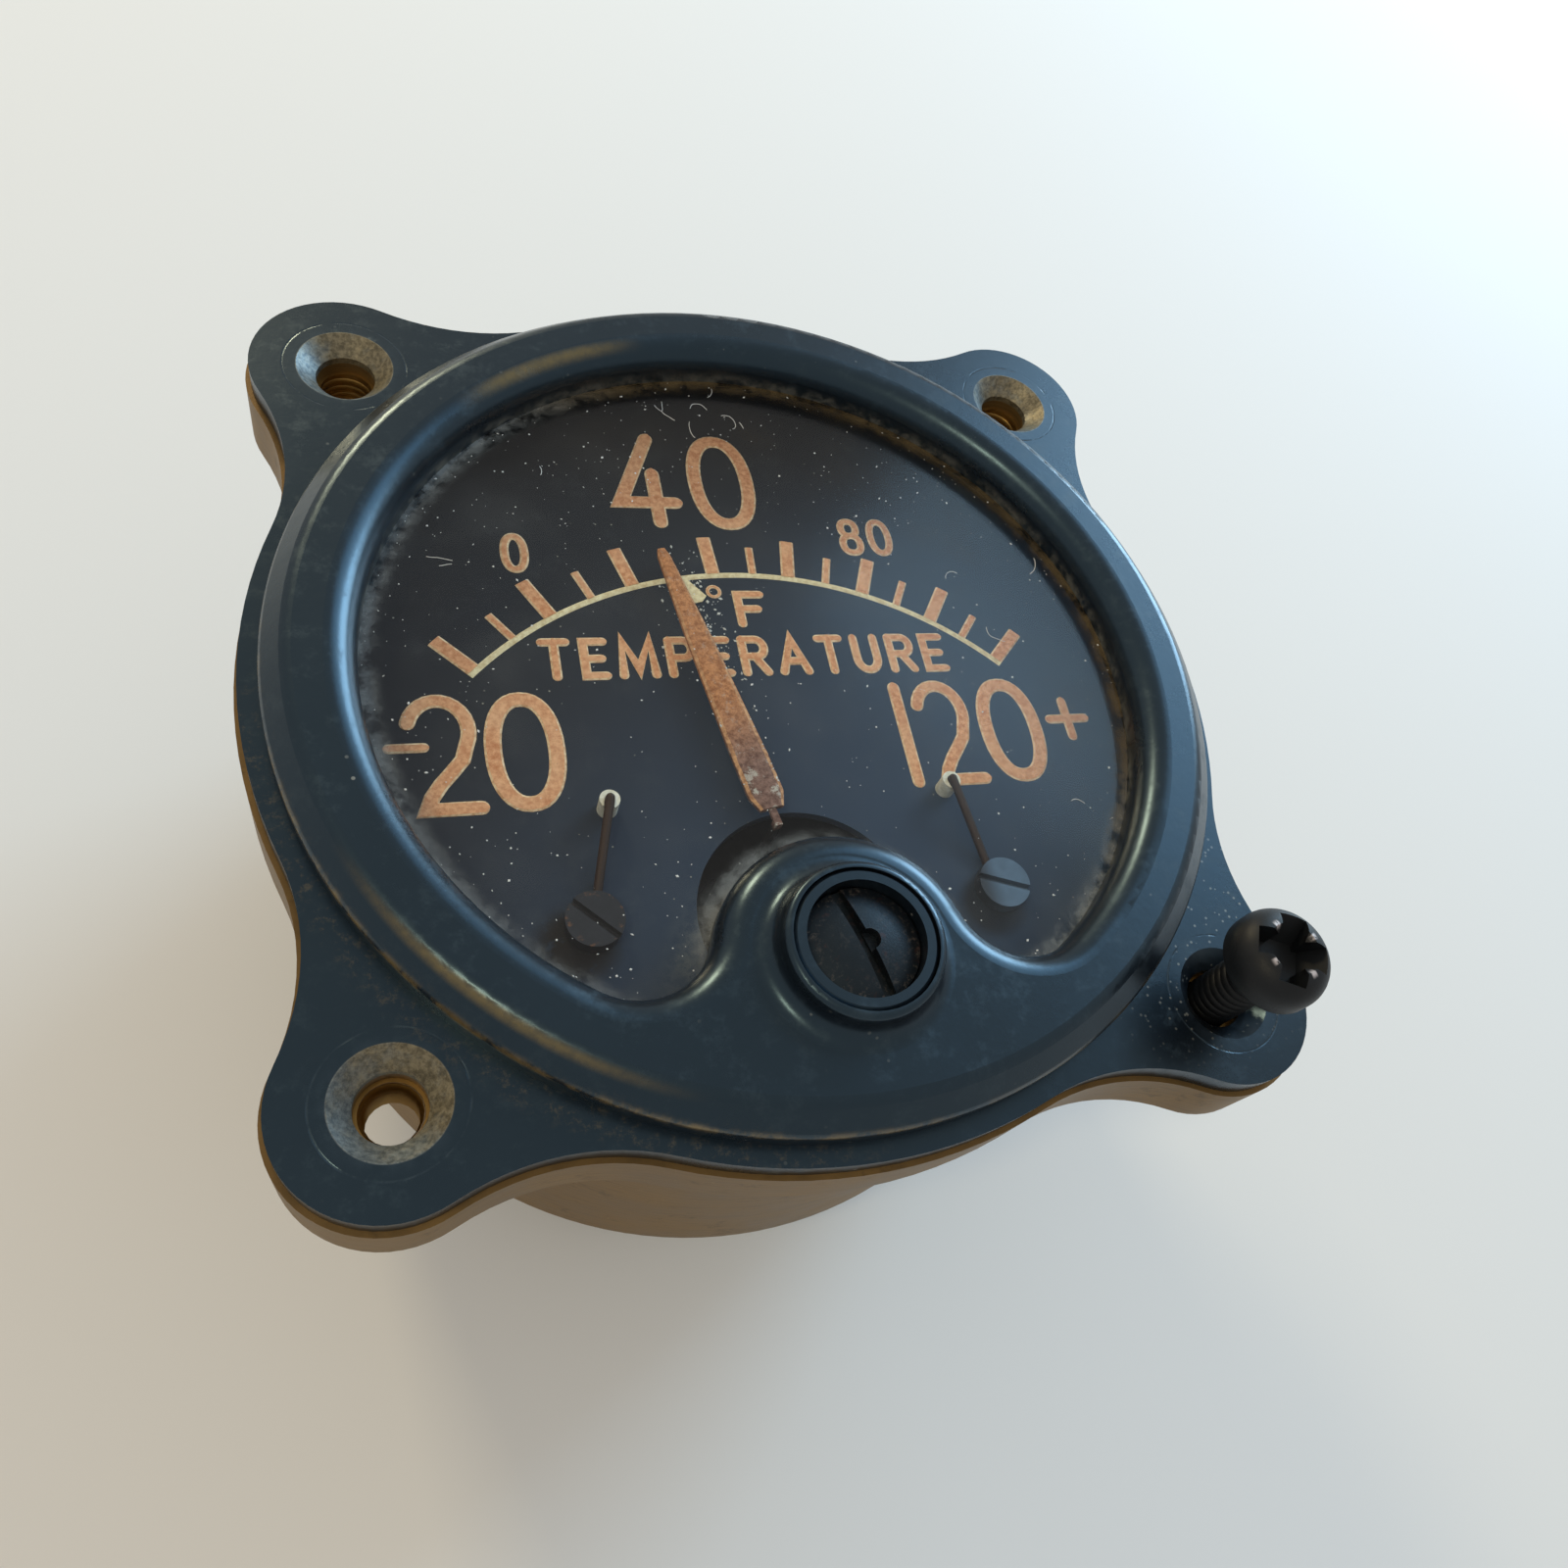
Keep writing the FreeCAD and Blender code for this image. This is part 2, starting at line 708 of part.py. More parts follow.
def adjuster_collar():
    top = boss_top - collar_sunk
    floor = boss_floor_z + collar_floor_t
    collar = turned([
        (adjuster_stem_r + run_gap, boss_floor_z),
        (collar_r, boss_floor_z),
        (collar_r, top - collar_bevel),
        (collar_r - collar_bevel, top),
        (collar_bore_r, top),
        (collar_bore_r, floor),
        (adjuster_stem_r + run_gap, floor),
    ], 0, adjuster_y)
    save("adjuster_collar", collar)


def zero_adjuster():
    seat = boss_floor_z + collar_floor_t + seat_gap
    rim = seat + adjuster_rim_t
    head_r = collar_bore_r - head_gap
    stem_low = glass_low - stem_below_glass
    sphere_r = (head_r ** 2 + adjuster_dome_h ** 2) / (2 * adjuster_dome_h)
    dome = Part.makeSphere(sphere_r, V(0, adjuster_y, rim + adjuster_dome_h - sphere_r))
    head = rod(head_r, seat, rim + adjuster_dome_h, 0, adjuster_y).common(dome)
    stem = rod(adjuster_stem_r, stem_low, rim, 0, adjuster_y)
    pin = rod(eccentric_r, lever_low - pin_past_lever, stem_low, 0, adjuster_y + eccentric_throw)
    slot_floor = rim + adjuster_dome_h - adjuster_slot_depth
    slot = bar(-adjuster_slot_w / 2, adjuster_slot_w / 2, adjuster_y - head_r - 1, adjuster_y + head_r + 1,
               slot_floor, rim + 2)
    nick = rod(adjuster_nick_r, (slot_floor + rim) / 2, rim + 2, adjuster_nick_side, adjuster_y)
    worn_slot = around(slot.fuse(nick), adjuster_slot_turn, 0, adjuster_y)
    body = fused(head, stem, pin).cut(worn_slot)
    save("zero_adjuster", body)
    wave = turned([
        (adjuster_stem_r + stem_gap, ledge_h),
        (adjuster_stem_r + stem_gap, ledge_h - washer_spring_t / 2),
        (clip_r + washer_overhang, ledge_h - washer_spring_t),
        (clip_r + washer_overhang, ledge_h - washer_spring_t / 2),
    ], 0, adjuster_y)
    save("adjuster_spring_washer", wave)
    clip_top = ledge_h - washer_spring_t - seat_gap
    clip = tube(clip_r, adjuster_stem_r, clip_top - clip_t, clip_top, 0, adjuster_y)
    mouth = bar(-clip_mouth_half, clip_mouth_half, adjuster_y - clip_r - 1, adjuster_y - clip_mouth_depth,
                clip_top - clip_t - 1, clip_top + 1)
    save("adjuster_clip", clip.cut(mouth))


# Magnet system

def magnet():
    half = V(magnet_outer_r, 0, 0)
    inner = V(magnet_inner_r, 0, 0)
    foot = V(0, magnet_foot_y, 0)
    edges = [
        Part.Arc(half, V(0, magnet_outer_r, 0), half * -1).toShape(),
        Part.makeLine(half * -1, half * -1 + foot),
        Part.makeLine(half * -1 + foot, inner * -1 + foot),
        Part.makeLine(inner * -1 + foot, inner * -1),
        Part.Arc(inner * -1, V(0, magnet_inner_r, 0), inner).toShape(),
        Part.makeLine(inner, inner + foot),
        Part.makeLine(inner + foot, half + foot),
        Part.makeLine(half + foot, half),
    ]
    save("magnet", plate_from(edges, plate_top, pole_top))


def pole_pieces():
    disc = rod(pole_r, plate_top, pole_top)
    band = bar(pole_gap_half, pole_r, pole_foot_y, magnet_foot_y, plate_top, pole_top)
    pole = disc.common(band).cut(rod(pole_bore_r, plate_top - 1, pole_top + 1, 0, pivot_y))
    low = pole_top - bridge_screw_bite - seat_gap
    pole = pole.cut(rod(bridge_screw_r + run_gap, low, pole_top + 1, bridge_pillar_x, pivot_y))
    save("pole_pieces", pole, mirrored(pole))


def core_and_support():
    front = pole_top - core_front_gap
    rear = plate_top + core_rear_gap
    middle = (front + rear) / 2
    half_w = pole_gap_half - run_gap
    support = bar(-half_w, half_w, pole_foot_y, magnet_foot_y, middle - support_t / 2, middle + support_t / 2)
    save("core_support", support)
    save("core", rod(core_r, rear, front, 0, pivot_y).cut(support))


# Moving coil, staffs and pointer, built round the pointer axis and then turned to the rest reading

def to_reading(shape):
    placed = shape.copy()
    placed.rotate(V(0, 0, 0), UP, pointer_turn)
    placed.translate(V(0, pivot_y, 0))
    return placed


def coil_frame(half_x, half_w, z_low, z_high, t):
    outside = bar(-half_x, half_x, -half_w, half_w, z_low, z_high)
    inside = bar(-half_x + t, half_x - t, -half_w - 1, half_w + 1, z_low + t, z_high - t)
    return outside.cut(inside)


def moving_coil():
    former_x = core_r + coil_air + former_t
    former = coil_frame(former_x, former_half_w, coil_rear - former_t, coil_front + former_t, former_t)
    winding = coil_frame(former_x + winding_t, winding_half_w, winding_rear, winding_front, winding_t)
    save("coil_former", to_reading(former))
    save("coil_winding", to_reading(winding))
    front_tip = bridge_low - jewel_proud - pivot_play
    rear_tip = rear_bridge_top + jewel_proud + pivot_play
    front = fused(rod(staff_r, winding_front, front_tip),
                  rod(staff_collar_r, front_spring_top - spring_h, front_spring_top))
    rear = fused(rod(staff_r, rear_tip, winding_rear),
                 rod(staff_collar_r, rear_spring_low, rear_spring_low + spring_h))
    save("pivot_staffs", to_reading(front), to_reading(rear))


def pointer():
    low = dial_top + pointer_height
    side = [
        (tip_half_w, pointer_len),
        (tip_shoulder_half_w, pointer_len - tip_taper),
        (lance_waist_half_w, lance_waist),
        (lance_half_w, lance_root),
        (lance_half_w, lance_end),
        (lance_half_w * 2 / 3, neck_start),
        (neck_half_w, neck_start),
        (neck_half_w, neck_drop_r),
    ]
    lance = polygon([(-x, y) for x, y in side] + side[::-1], low, low + pointer_t)
    hub_low = hub_top - hub_h
    drop = bar(-neck_half_w, neck_half_w, neck_drop_r, neck_drop_r + 2 * neck_half_w, hub_low, low + pointer_t)
    reach = bar(-neck_half_w, neck_half_w, hub_r / 2, neck_drop_r + neck_half_w, hub_low, hub_low + hub_h / 2)
    hub = tube(hub_r, staff_r + run_gap / 2, hub_low, hub_top)
    mid = (hub_low + hub_top) / 2
    start = (hub_r + staff_r) / 2
    arms = [Part.makeCylinder(arm_r, arm_len - start, V(dx * start, dy * start, mid), V(dx, dy, 0))
            for dx, dy in ((1, 0), (-1, 0), (0, -1))]
    body = fused(lance, drop, reach, hub, *arms)
    save("pointer", to_reading(body.cut(rod(staff_r + run_gap / 2, hub_low - 1, hub_top + 1))))
    weights = []
    for dx, dy in ((1, 0), (-1, 0), (0, -1)):
        near = weight_at - weight_w / 2
        outside = Part.makeCylinder(weight_r, weight_w, V(dx * near, dy * near, mid), V(dx, dy, 0))
        inside = Part.makeCylinder(arm_r + run_gap / 2, weight_w + 2, V(dx * (near - 1), dy * (near - 1), mid),
                                   V(dx, dy, 0))
        weights.append(to_reading(outside.cut(inside)))
    save("balance_weights", *weights)


def spiral_side(first_r, growth, half_turns, shift):
    # Half circles whose centres step from side to side, so that each joins the next without a corner.
    edges = []
    for k in range(half_turns):
        near = first_r + growth * k + shift
        far = first_r + growth * (k + 1) + shift
        side = 1 if k % 2 == 0 else -1
        start = V(side * near, 0, 0)
        end = V(-side * far, 0, 0)
        middle = (start + end) * 0.5 + V(0, side * (near + far) / 2, 0)
        edges.append(Part.Arc(start, middle, end).toShape())
    return edges, V(first_r + shift, 0, 0), end


def hairspring(z_low, end_turn):
    # A flat strip wound outwards from the staff collar to its anchor.
    half_turns = int(2 * spring_turns)
    first_r = staff_collar_r + spring_strip / 2 + run_gap
    growth = (spring_outer_r - first_r) / half_turns
    inner, inner_start, inner_end = spiral_side(first_r, growth, half_turns, -spring_strip / 2)
    outer, outer_start, outer_end = spiral_side(first_r, growth, half_turns, spring_strip / 2)
    edges = inner + [Part.makeLine(inner_end, outer_end)] + outer + [Part.makeLine(outer_start, inner_start)]
    strip = plate_from(Part.__sortEdges__(edges), z_low, z_low + spring_h)
    strip.rotate(V(0, 0, 0), UP, end_turn - 180 * half_turns)
    strip.translate(V(0, pivot_y, 0))
    return strip


def hairsprings():
    save("front_hairspring", hairspring(front_spring_top - spring_h, abutment_turn))
    save("rear_hairspring", hairspring(rear_spring_low, abutment_turn))


# Bridges and jewel screws

def bridge_bar(pillar_x, z_low, z_high):
    left = V(-pillar_x, 0, 0)
    right = V(pillar_x, 0, 0)
    up = V(0, bridge_half_w, 0)
    out = V(bridge_half_w, 0, 0)
    edges = [
        Part.makeLine(left + up, right + up),
        Part.Arc(right + up, right + out, right - up).toShape(),
        Part.makeLine(right - up, left - up),
        Part.Arc(left - up, left - out, left + up).toShape(),
    ]
    made = plate_from(edges, z_low, z_high)
    made.translate(V(0, pivot_y, 0))
    return made


def front_bridge():
    made = fused(
        bridge_bar(bridge_pillar_x, bridge_low, bridge_top),
        rod(bridge_boss_r, bridge_top, bridge_top + bridge_boss_h, 0, pivot_y),
        rod(bridge_pillar_r, pole_top, bridge_low, bridge_pillar_x, pivot_y),
        rod(bridge_pillar_r, pole_top, bridge_low, -bridge_pillar_x, pivot_y),
    )
    made = made.cut(rod(jewel_r + run_gap, bridge_low - 1, dial_top, 0, pivot_y))
    for x in (-bridge_pillar_x, bridge_pillar_x):
        made = made.cut(rod(bridge_screw_r + run_gap, pole_top - 1, bridge_top + 1, x, pivot_y))
    save("front_bridge", made)
    length = bridge_top - pole_top + bridge_screw_bite
    screws = [screw(bridge_screw_r, length, bridge_screw_head_r, bridge_screw_head_h, bridge_top, x, pivot_y, turn)
              for x, turn in zip((-bridge_pillar_x, bridge_pillar_x), front_screw_turns)]
    save("front_bridge_screws", *screws)


def rear_bridge():
    made = fused(
        bridge_bar(rear_pillar_x, rear_bridge_low, rear_bridge_top),
        rod(bridge_pillar_r, rear_bridge_top, plate_low, rear_pillar_x, pivot_y),
        rod(bridge_pillar_r, rear_bridge_top, plate_low, -rear_pillar_x, pivot_y),
        rear_anchor(),
    )
    made = made.cut(rod(jewel_r + run_gap, rear_bridge_low - 1, rear_bridge_top + 1, 0, pivot_y))
    for x in (-rear_pillar_x, rear_pillar_x):
        made = made.cut(rod(bridge_screw_r + run_gap, rear_bridge_low - 1, plate_low + 1, x, pivot_y))
    save("rear_bridge", made)
    length = plate_low - rear_bridge_low + plate_t / 2
    screws = [screw(bridge_screw_r, length, bridge_screw_head_r, bridge_screw_head_h, rear_bridge_low,
                    x, pivot_y, turn, False) for x, turn in zip((-rear_pillar_x, rear_pillar_x), rear_screw_turns)]
    save("rear_bridge_screws", *screws)


def rear_anchor():
    # Post on the rear bridge that holds the outer end of the rear hairspring.
    angle = math.radians(abutment_turn)
    x = spring_anchor_r * math.cos(angle)
    y = pivot_y + spring_anchor_r * math.sin(angle)
    post = rod(spring_tail_r, rear_bridge_top - bridge_t, rear_spring_low + spring_h, x, y)
    arm = bar(x - spring_tail_r * 2, x + spring_tail_r * 2, y - spring_tail_r * 2, pivot_y - bridge_half_w / 2,
              rear_bridge_low, rear_bridge_top)
    return post.fuse(arm)


def jewel_screws():
    front_low = bridge_low - jewel_proud
    front = rod(jewel_r, front_low, front_low + jewel_len, 0, pivot_y)
    slot = bar(-jewel_r, jewel_r, pivot_y - jewel_slot_w / 2, pivot_y + jewel_slot_w / 2,
               front_low + jewel_len - jewel_slot_depth, front_low + jewel_len + 1)
    save("front_jewel_screw", front.cut(slot))
    rear = rod(jewel_r, rear_jewel_low, rear_jewel_low + jewel_len, 0, pivot_y)
    slot = bar(-jewel_r, jewel_r, pivot_y - jewel_slot_w / 2, pivot_y + jewel_slot_w / 2,
               rear_jewel_low - 1, rear_jewel_low + jewel_slot_depth)
    save("rear_jewel_screw", rear.cut(slot))


# Zero lever: a ring on the bridge boss, a fork round the eccentric and an arm for the hairspring

def zero_lever():
    ring_in = bridge_boss_r + run_gap
    ring_out = ring_in + lever_ring_w
    pin_at = adjuster_drop - eccentric_throw
    fork_end = pin_at + lever_reach
    high = lever_low + lever_t
    ring = rod(ring_out, lever_low, high)
    arm = bar(-lever_half_w, lever_half_w, -fork_end, 0, lever_low, high)
    angle = math.radians(abutment_turn)
    x = spring_anchor_r * math.cos(angle)
    y = spring_anchor_r * math.sin(angle)
    tail = Part.makeBox(spring_anchor_r, 4 * spring_tail_r, lever_t, V(0, -2 * spring_tail_r, lever_low))
    tail.rotate(V(0, 0, 0), UP, abutment_turn)
    post = rod(spring_tail_r, front_spring_top - spring_h, high, x, y)
    body = fused(ring, arm, tail, post).cut(rod(ring_in, lever_low - 1, high + 1))
    slot_half = eccentric_r + fork_gap
    body = body.cut(bar(-slot_half, slot_half, -fork_end - 1, slot_half + fork_gap - pin_at, lever_low - 1, high + 1))
    body.translate(V(0, pivot_y, 0))
    save("zero_lever", body)


# Movement plate, its screws and the resistor spools behind it

def movement_plate():
    plate = rod(plate_r, plate_low, plate_top).cut(rod(plate_hole_r, plate_low - 1, plate_top + 1, 0, pivot_y))
    for x, y in lug_spots(plate_screw_ring_r):
        plate = plate.cut(rod(plate_screw_r + run_gap, plate_low - 1, plate_top + 1, x, y))
    for x in (-rear_pillar_x, rear_pillar_x):
        plate = plate.cut(rod(bridge_screw_r + run_gap, plate_low - 1, plate_low + plate_t / 2 + seat_gap, x, pivot_y))
    save("movement_plate", plate)
    made = [screw(plate_screw_r, plate_screw_len, plate_screw_head_r, plate_screw_head_h, plate_top, x, y, turn)
            for (x, y), turn in zip(lug_spots(plate_screw_ring_r), plate_screw_turns)]
    save("movement_screws", *made)


def resistor_spools():
    low = plate_low - spool_len
    bobbins = []
    windings = []
    for x in (-spool_x, spool_x):
        bobbins.append(turned([
            (0, low),
            (spool_flange_r, low),
            (spool_flange_r, low + spool_flange_t),
            (spool_core_r, low + spool_flange_t),
            (spool_core_r, plate_low - spool_flange_t),
            (spool_flange_r, plate_low - spool_flange_t),
            (spool_flange_r, plate_low),
            (0, plate_low),
        ], x, spool_y))
        windings.append(tube(spool_winding_r, spool_core_r + run_gap, low + spool_flange_t + run_gap,
                             plate_low - spool_flange_t - run_gap, x, spool_y))
    save("resistor_bobbins", *bobbins)
    save("resistor_windings", *windings)


def wire_along(points, radius, bend):
    # Straight runs joined by tangent arcs.
    corners = [V(*p) for p in points]
    edges = []
    last = corners[0]
    for before, corner, after in zip(corners, corners[1:], corners[2:]):
        back = (before - corner).normalize()
        ahead = (after - corner).normalize()
        start = corner + back * bend
        end = corner + ahead * bend
        turn = back.getAngle(ahead)
        inward = (back + ahead).normalize()
        middle = corner + inward * (bend / math.cos(turn / 2) - bend * math.tan(turn / 2))
        edges.append(Part.makeLine(last, start))
        edges.append(Part.Arc(start, middle, end).toShape())
        last = end
    edges.append(Part.makeLine(last, corners[-1]))
    path = Part.Wire(edges)
    section = Part.Wire(Part.makeCircle(radius, corners[0], corners[1] - corners[0]))
    return path.makePipeShell([section], True, False)


def lead_wires():
    head_top = case_back + stud_head_h
    mid = plate_low - spool_len / 2
    studs = ring_spots(stud_ring_r, stud_count, stud_first)
    side_x = max(x for x, y in studs)
    side_y = max(y for x, y in studs)
    low_y = min(y for x, y in studs)
    right = wire_along([
        (spool_x, spool_y - spool_winding_r, mid),
        (spool_x, side_y, mid),
        (side_x, side_y, mid),
        (side_x, side_y, head_top),
    ], lead_r, lead_bend)
    across = rear_bridge_low - lead_r - lead_clear
    start_x = bridge_pillar_x / 2
    start_y = pivot_y + plate_hole_r + lead_inset
    end_x = jewel_r + 2 * lead_r
    end_y = low_y + lead_inset
    third = wire_along([
        (start_x, start_y, plate_low),
        (start_x, start_y, across),
        (end_x, end_y, across),
        (end_x, end_y, head_top),
    ], lead_r, lead_bend / 2)
    save("lead_wires", right, mirrored(right), third)


# Rear cover and terminals

def rear_cover():
    cover = rod(body_r, rear_low, case_back)
    for x, y in lug_spots(lug_ring_r):
        cover = cover.cut(rod(rear_screw_r + run_gap, rear_low - 1, case_back + 1, x, y))
    for x, y in ring_spots(stud_ring_r, stud_count, stud_first):
        cover = cover.cut(rod(board_collar_r + run_gap, rear_low - 1, case_back + 1, x, y))
    cover = cover.makeChamfer(rear_cover_bevel, circle_edges(cover, body_r, rear_low))
    save("rear_cover", cover)
    made = [screw(rear_screw_r, rear_screw_len, rear_screw_head_r, rear_screw_head_h, rear_low, x, y, turn, False)
            for (x, y), turn in zip(lug_spots(lug_ring_r), rear_cover_screw_turns)]
    save("rear_cover_screws", *made)


def terminals():
    spots = ring_spots(stud_ring_r, stud_count, stud_first)
    board = rod(board_r, board_low, rear_low)
    board = board.makeChamfer(board_edge_bevel, circle_edges(board, board_r, board_low))
    board = fused(board, *[rod(board_collar_r, rear_low, case_back, x, y) for x, y in spots])
    for x, y in spots:
        board = board.cut(rod(stud_r + run_gap, board_low - 1, case_back + 1, x, y))
    save("terminal_board", board)
    save("terminal_studs", *[stud(x, y) for x, y in spots])
    washers = [tube(washer_r, stud_r + run_gap, washer_low, board_low, x, y) for x, y in spots]
    save("terminal_washers", *washers)
    save("terminal_nuts", *[hex_nut(x, y) for x, y in spots])


def stud(x, y):
    shank = rod(stud_r, stud_tip, case_back, x, y)
    shank = shank.makeChamfer(stud_tip_bevel, circle_edges(shank, stud_r, stud_tip))
    return fused(shank, rod(stud_head_r, case_back, case_back + stud_head_h, x, y))


def hex_nut(x, y):
    corner = nut_across / 2 / math.cos(math.radians(30))
    points = [(corner * math.cos(math.radians(60 * k)), corner * math.sin(math.radians(60 * k))) for k in range(6)]
    nut = polygon(points, nut_low, washer_low)
    face_r = nut_across / 2 - nut_face_set_in
    cone = Part.makeCone(face_r, face_r + nut_h, nut_h, V(0, 0, nut_low))
    nut = nut.common(cone).cut(rod(stud_r + run_gap, nut_low - 1, washer_low + 1))
    nut.translate(V(x, y, 0))
    return nut


front_cover()
cover_screws()
cover_glass()
glass_gasket()
dial_ring()
dial_plate()
dial_screws()
dial_posts()
pointer_stops()
case_body()
threaded_inserts()
mounting_screw()
adjuster_collar()
zero_adjuster()
magnet()
pole_pieces()
core_and_support()
moving_coil()
pointer()
hairsprings()
front_bridge()
rear_bridge()
jewel_screws()
zero_lever()
movement_plate()
resistor_spools()
lead_wires()
rear_cover()
terminals()
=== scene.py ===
import bpy
import bmesh
import json
import math
import random
from mathutils import Matrix, Vector, noise


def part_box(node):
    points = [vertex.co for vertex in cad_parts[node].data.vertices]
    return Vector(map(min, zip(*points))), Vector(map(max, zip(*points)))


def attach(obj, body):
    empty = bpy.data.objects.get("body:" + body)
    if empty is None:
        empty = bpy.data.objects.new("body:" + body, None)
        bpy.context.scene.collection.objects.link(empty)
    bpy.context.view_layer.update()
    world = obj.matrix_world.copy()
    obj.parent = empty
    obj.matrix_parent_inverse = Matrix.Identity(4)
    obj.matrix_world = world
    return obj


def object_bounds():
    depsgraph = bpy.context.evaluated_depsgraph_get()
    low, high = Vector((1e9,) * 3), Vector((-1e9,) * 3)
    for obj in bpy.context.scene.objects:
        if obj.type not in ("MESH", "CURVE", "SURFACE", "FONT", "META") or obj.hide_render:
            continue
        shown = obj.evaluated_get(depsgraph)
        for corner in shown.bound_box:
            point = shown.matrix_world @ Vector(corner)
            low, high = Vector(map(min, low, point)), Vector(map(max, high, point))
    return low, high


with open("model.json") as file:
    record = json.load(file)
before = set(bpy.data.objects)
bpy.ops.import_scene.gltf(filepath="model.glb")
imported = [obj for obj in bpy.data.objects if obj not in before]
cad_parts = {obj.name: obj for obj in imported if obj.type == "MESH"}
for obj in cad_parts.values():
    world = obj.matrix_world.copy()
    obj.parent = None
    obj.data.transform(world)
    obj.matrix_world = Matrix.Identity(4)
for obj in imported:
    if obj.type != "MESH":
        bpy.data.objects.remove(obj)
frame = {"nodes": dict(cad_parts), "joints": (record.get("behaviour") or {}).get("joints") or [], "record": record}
cad_low, cad_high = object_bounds()
nodes = frame["nodes"]
joints = {joint["name"]: joint for joint in frame["joints"]}
mounts = {mount["name"]: mount for mount in frame["record"]["mounts"]}

MM = 0.001

# Places read from the frame
edge_round = 0.15 * MM
dial_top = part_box("dial_plate")[1].z
glass_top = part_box("cover_glass")[1].z
pointer_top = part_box("pointer")[1].z
insert_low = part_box("threaded_inserts")[0].z
insert_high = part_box("threaded_inserts")[1].z
screw_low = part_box("mounting_screw")[0].z
screw_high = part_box("mounting_screw")[1].z
floor_z = cad_low.z
pivot = Vector(joints["pointer"]["pos_m"])
adjuster = Vector(joints["zero_adjuster"]["pos_m"])
hole_half = mounts["top_screw_holes"]["pos_m"][1]
insert_bore = mounts["top_screw_holes"]["dims"]["hole_r_mm"] * MM
bezel_r = mounts["panel_cutout_register"]["dims"]["r_mm"] * MM
step_edge_z = mounts["panel_cutout_register"]["dims"]["length_mm"] * MM + edge_round

# The four screw holes of the flange. The mounting screw stands in the lower right one.
screw_place = (hole_half, -hole_half)
open_holes = ((-hole_half, hole_half), (hole_half, hole_half), (-hole_half, -hole_half))
hole_places = open_holes + (screw_place,)

# Face sizes shared by several pieces and materials
opening_r = 31.85 * MM
lobe_r = 9.9 * MM
sink_r = 3.81 * MM
scribe_r = 4.9 * MM
inner_crown_r = 33.2 * MM
outer_crown_r = 36.9 * MM
thread_pitch = 0.794 * MM
thread_depth = 0.33 * MM
thread_play = 0.05 * MM
thread_sunk = 0.01 * MM
screw_head_h = 3.6 * MM
screw_tip_bevel = 0.4 * MM
recess_turn = math.radians(-25)
lance_turn = math.radians(10.9)

# Where the photograph shows worn, dusty and dark spots; the golden ones carry a painted highlight, and the right
# shade is painted shadow by a dial screw.
golden_top = (-15.4 * MM, 29.4 * MM)
golden_foot = (-25.2 * MM, -27.0 * MM)
crumbs_by_screw = (30 * MM, -24 * MM)
left_dial_screw = (-16.7 * MM, -19.3 * MM)
left_dark_patch = (-17.9 * MM, -20.7 * MM)
right_shade = (15.9 * MM, -20.6 * MM)

# The photograph's camera, as fitted to the holes, the bezel and the scale
photo_px = 1600
focal_px = 1253.0
centre_px = (828.15, 828.74)
camera_place = Vector((-31.12, -52.86, 80.44)) * MM
camera_target = Vector((0.55, -13.11, 0.0)) * MM
camera_roll = math.radians(13.01)


def srgb(red, green, blue):
    def linear(value):
        value /= 255
        return value / 12.92 if value <= 0.04045 else ((value + 0.055) / 1.055) ** 2.4
    return (linear(red), linear(green), linear(blue), 1.0)


def darker(colour, share):
    return tuple(channel * share for channel in colour[:3]) + (1.0,)


# Shader graphs

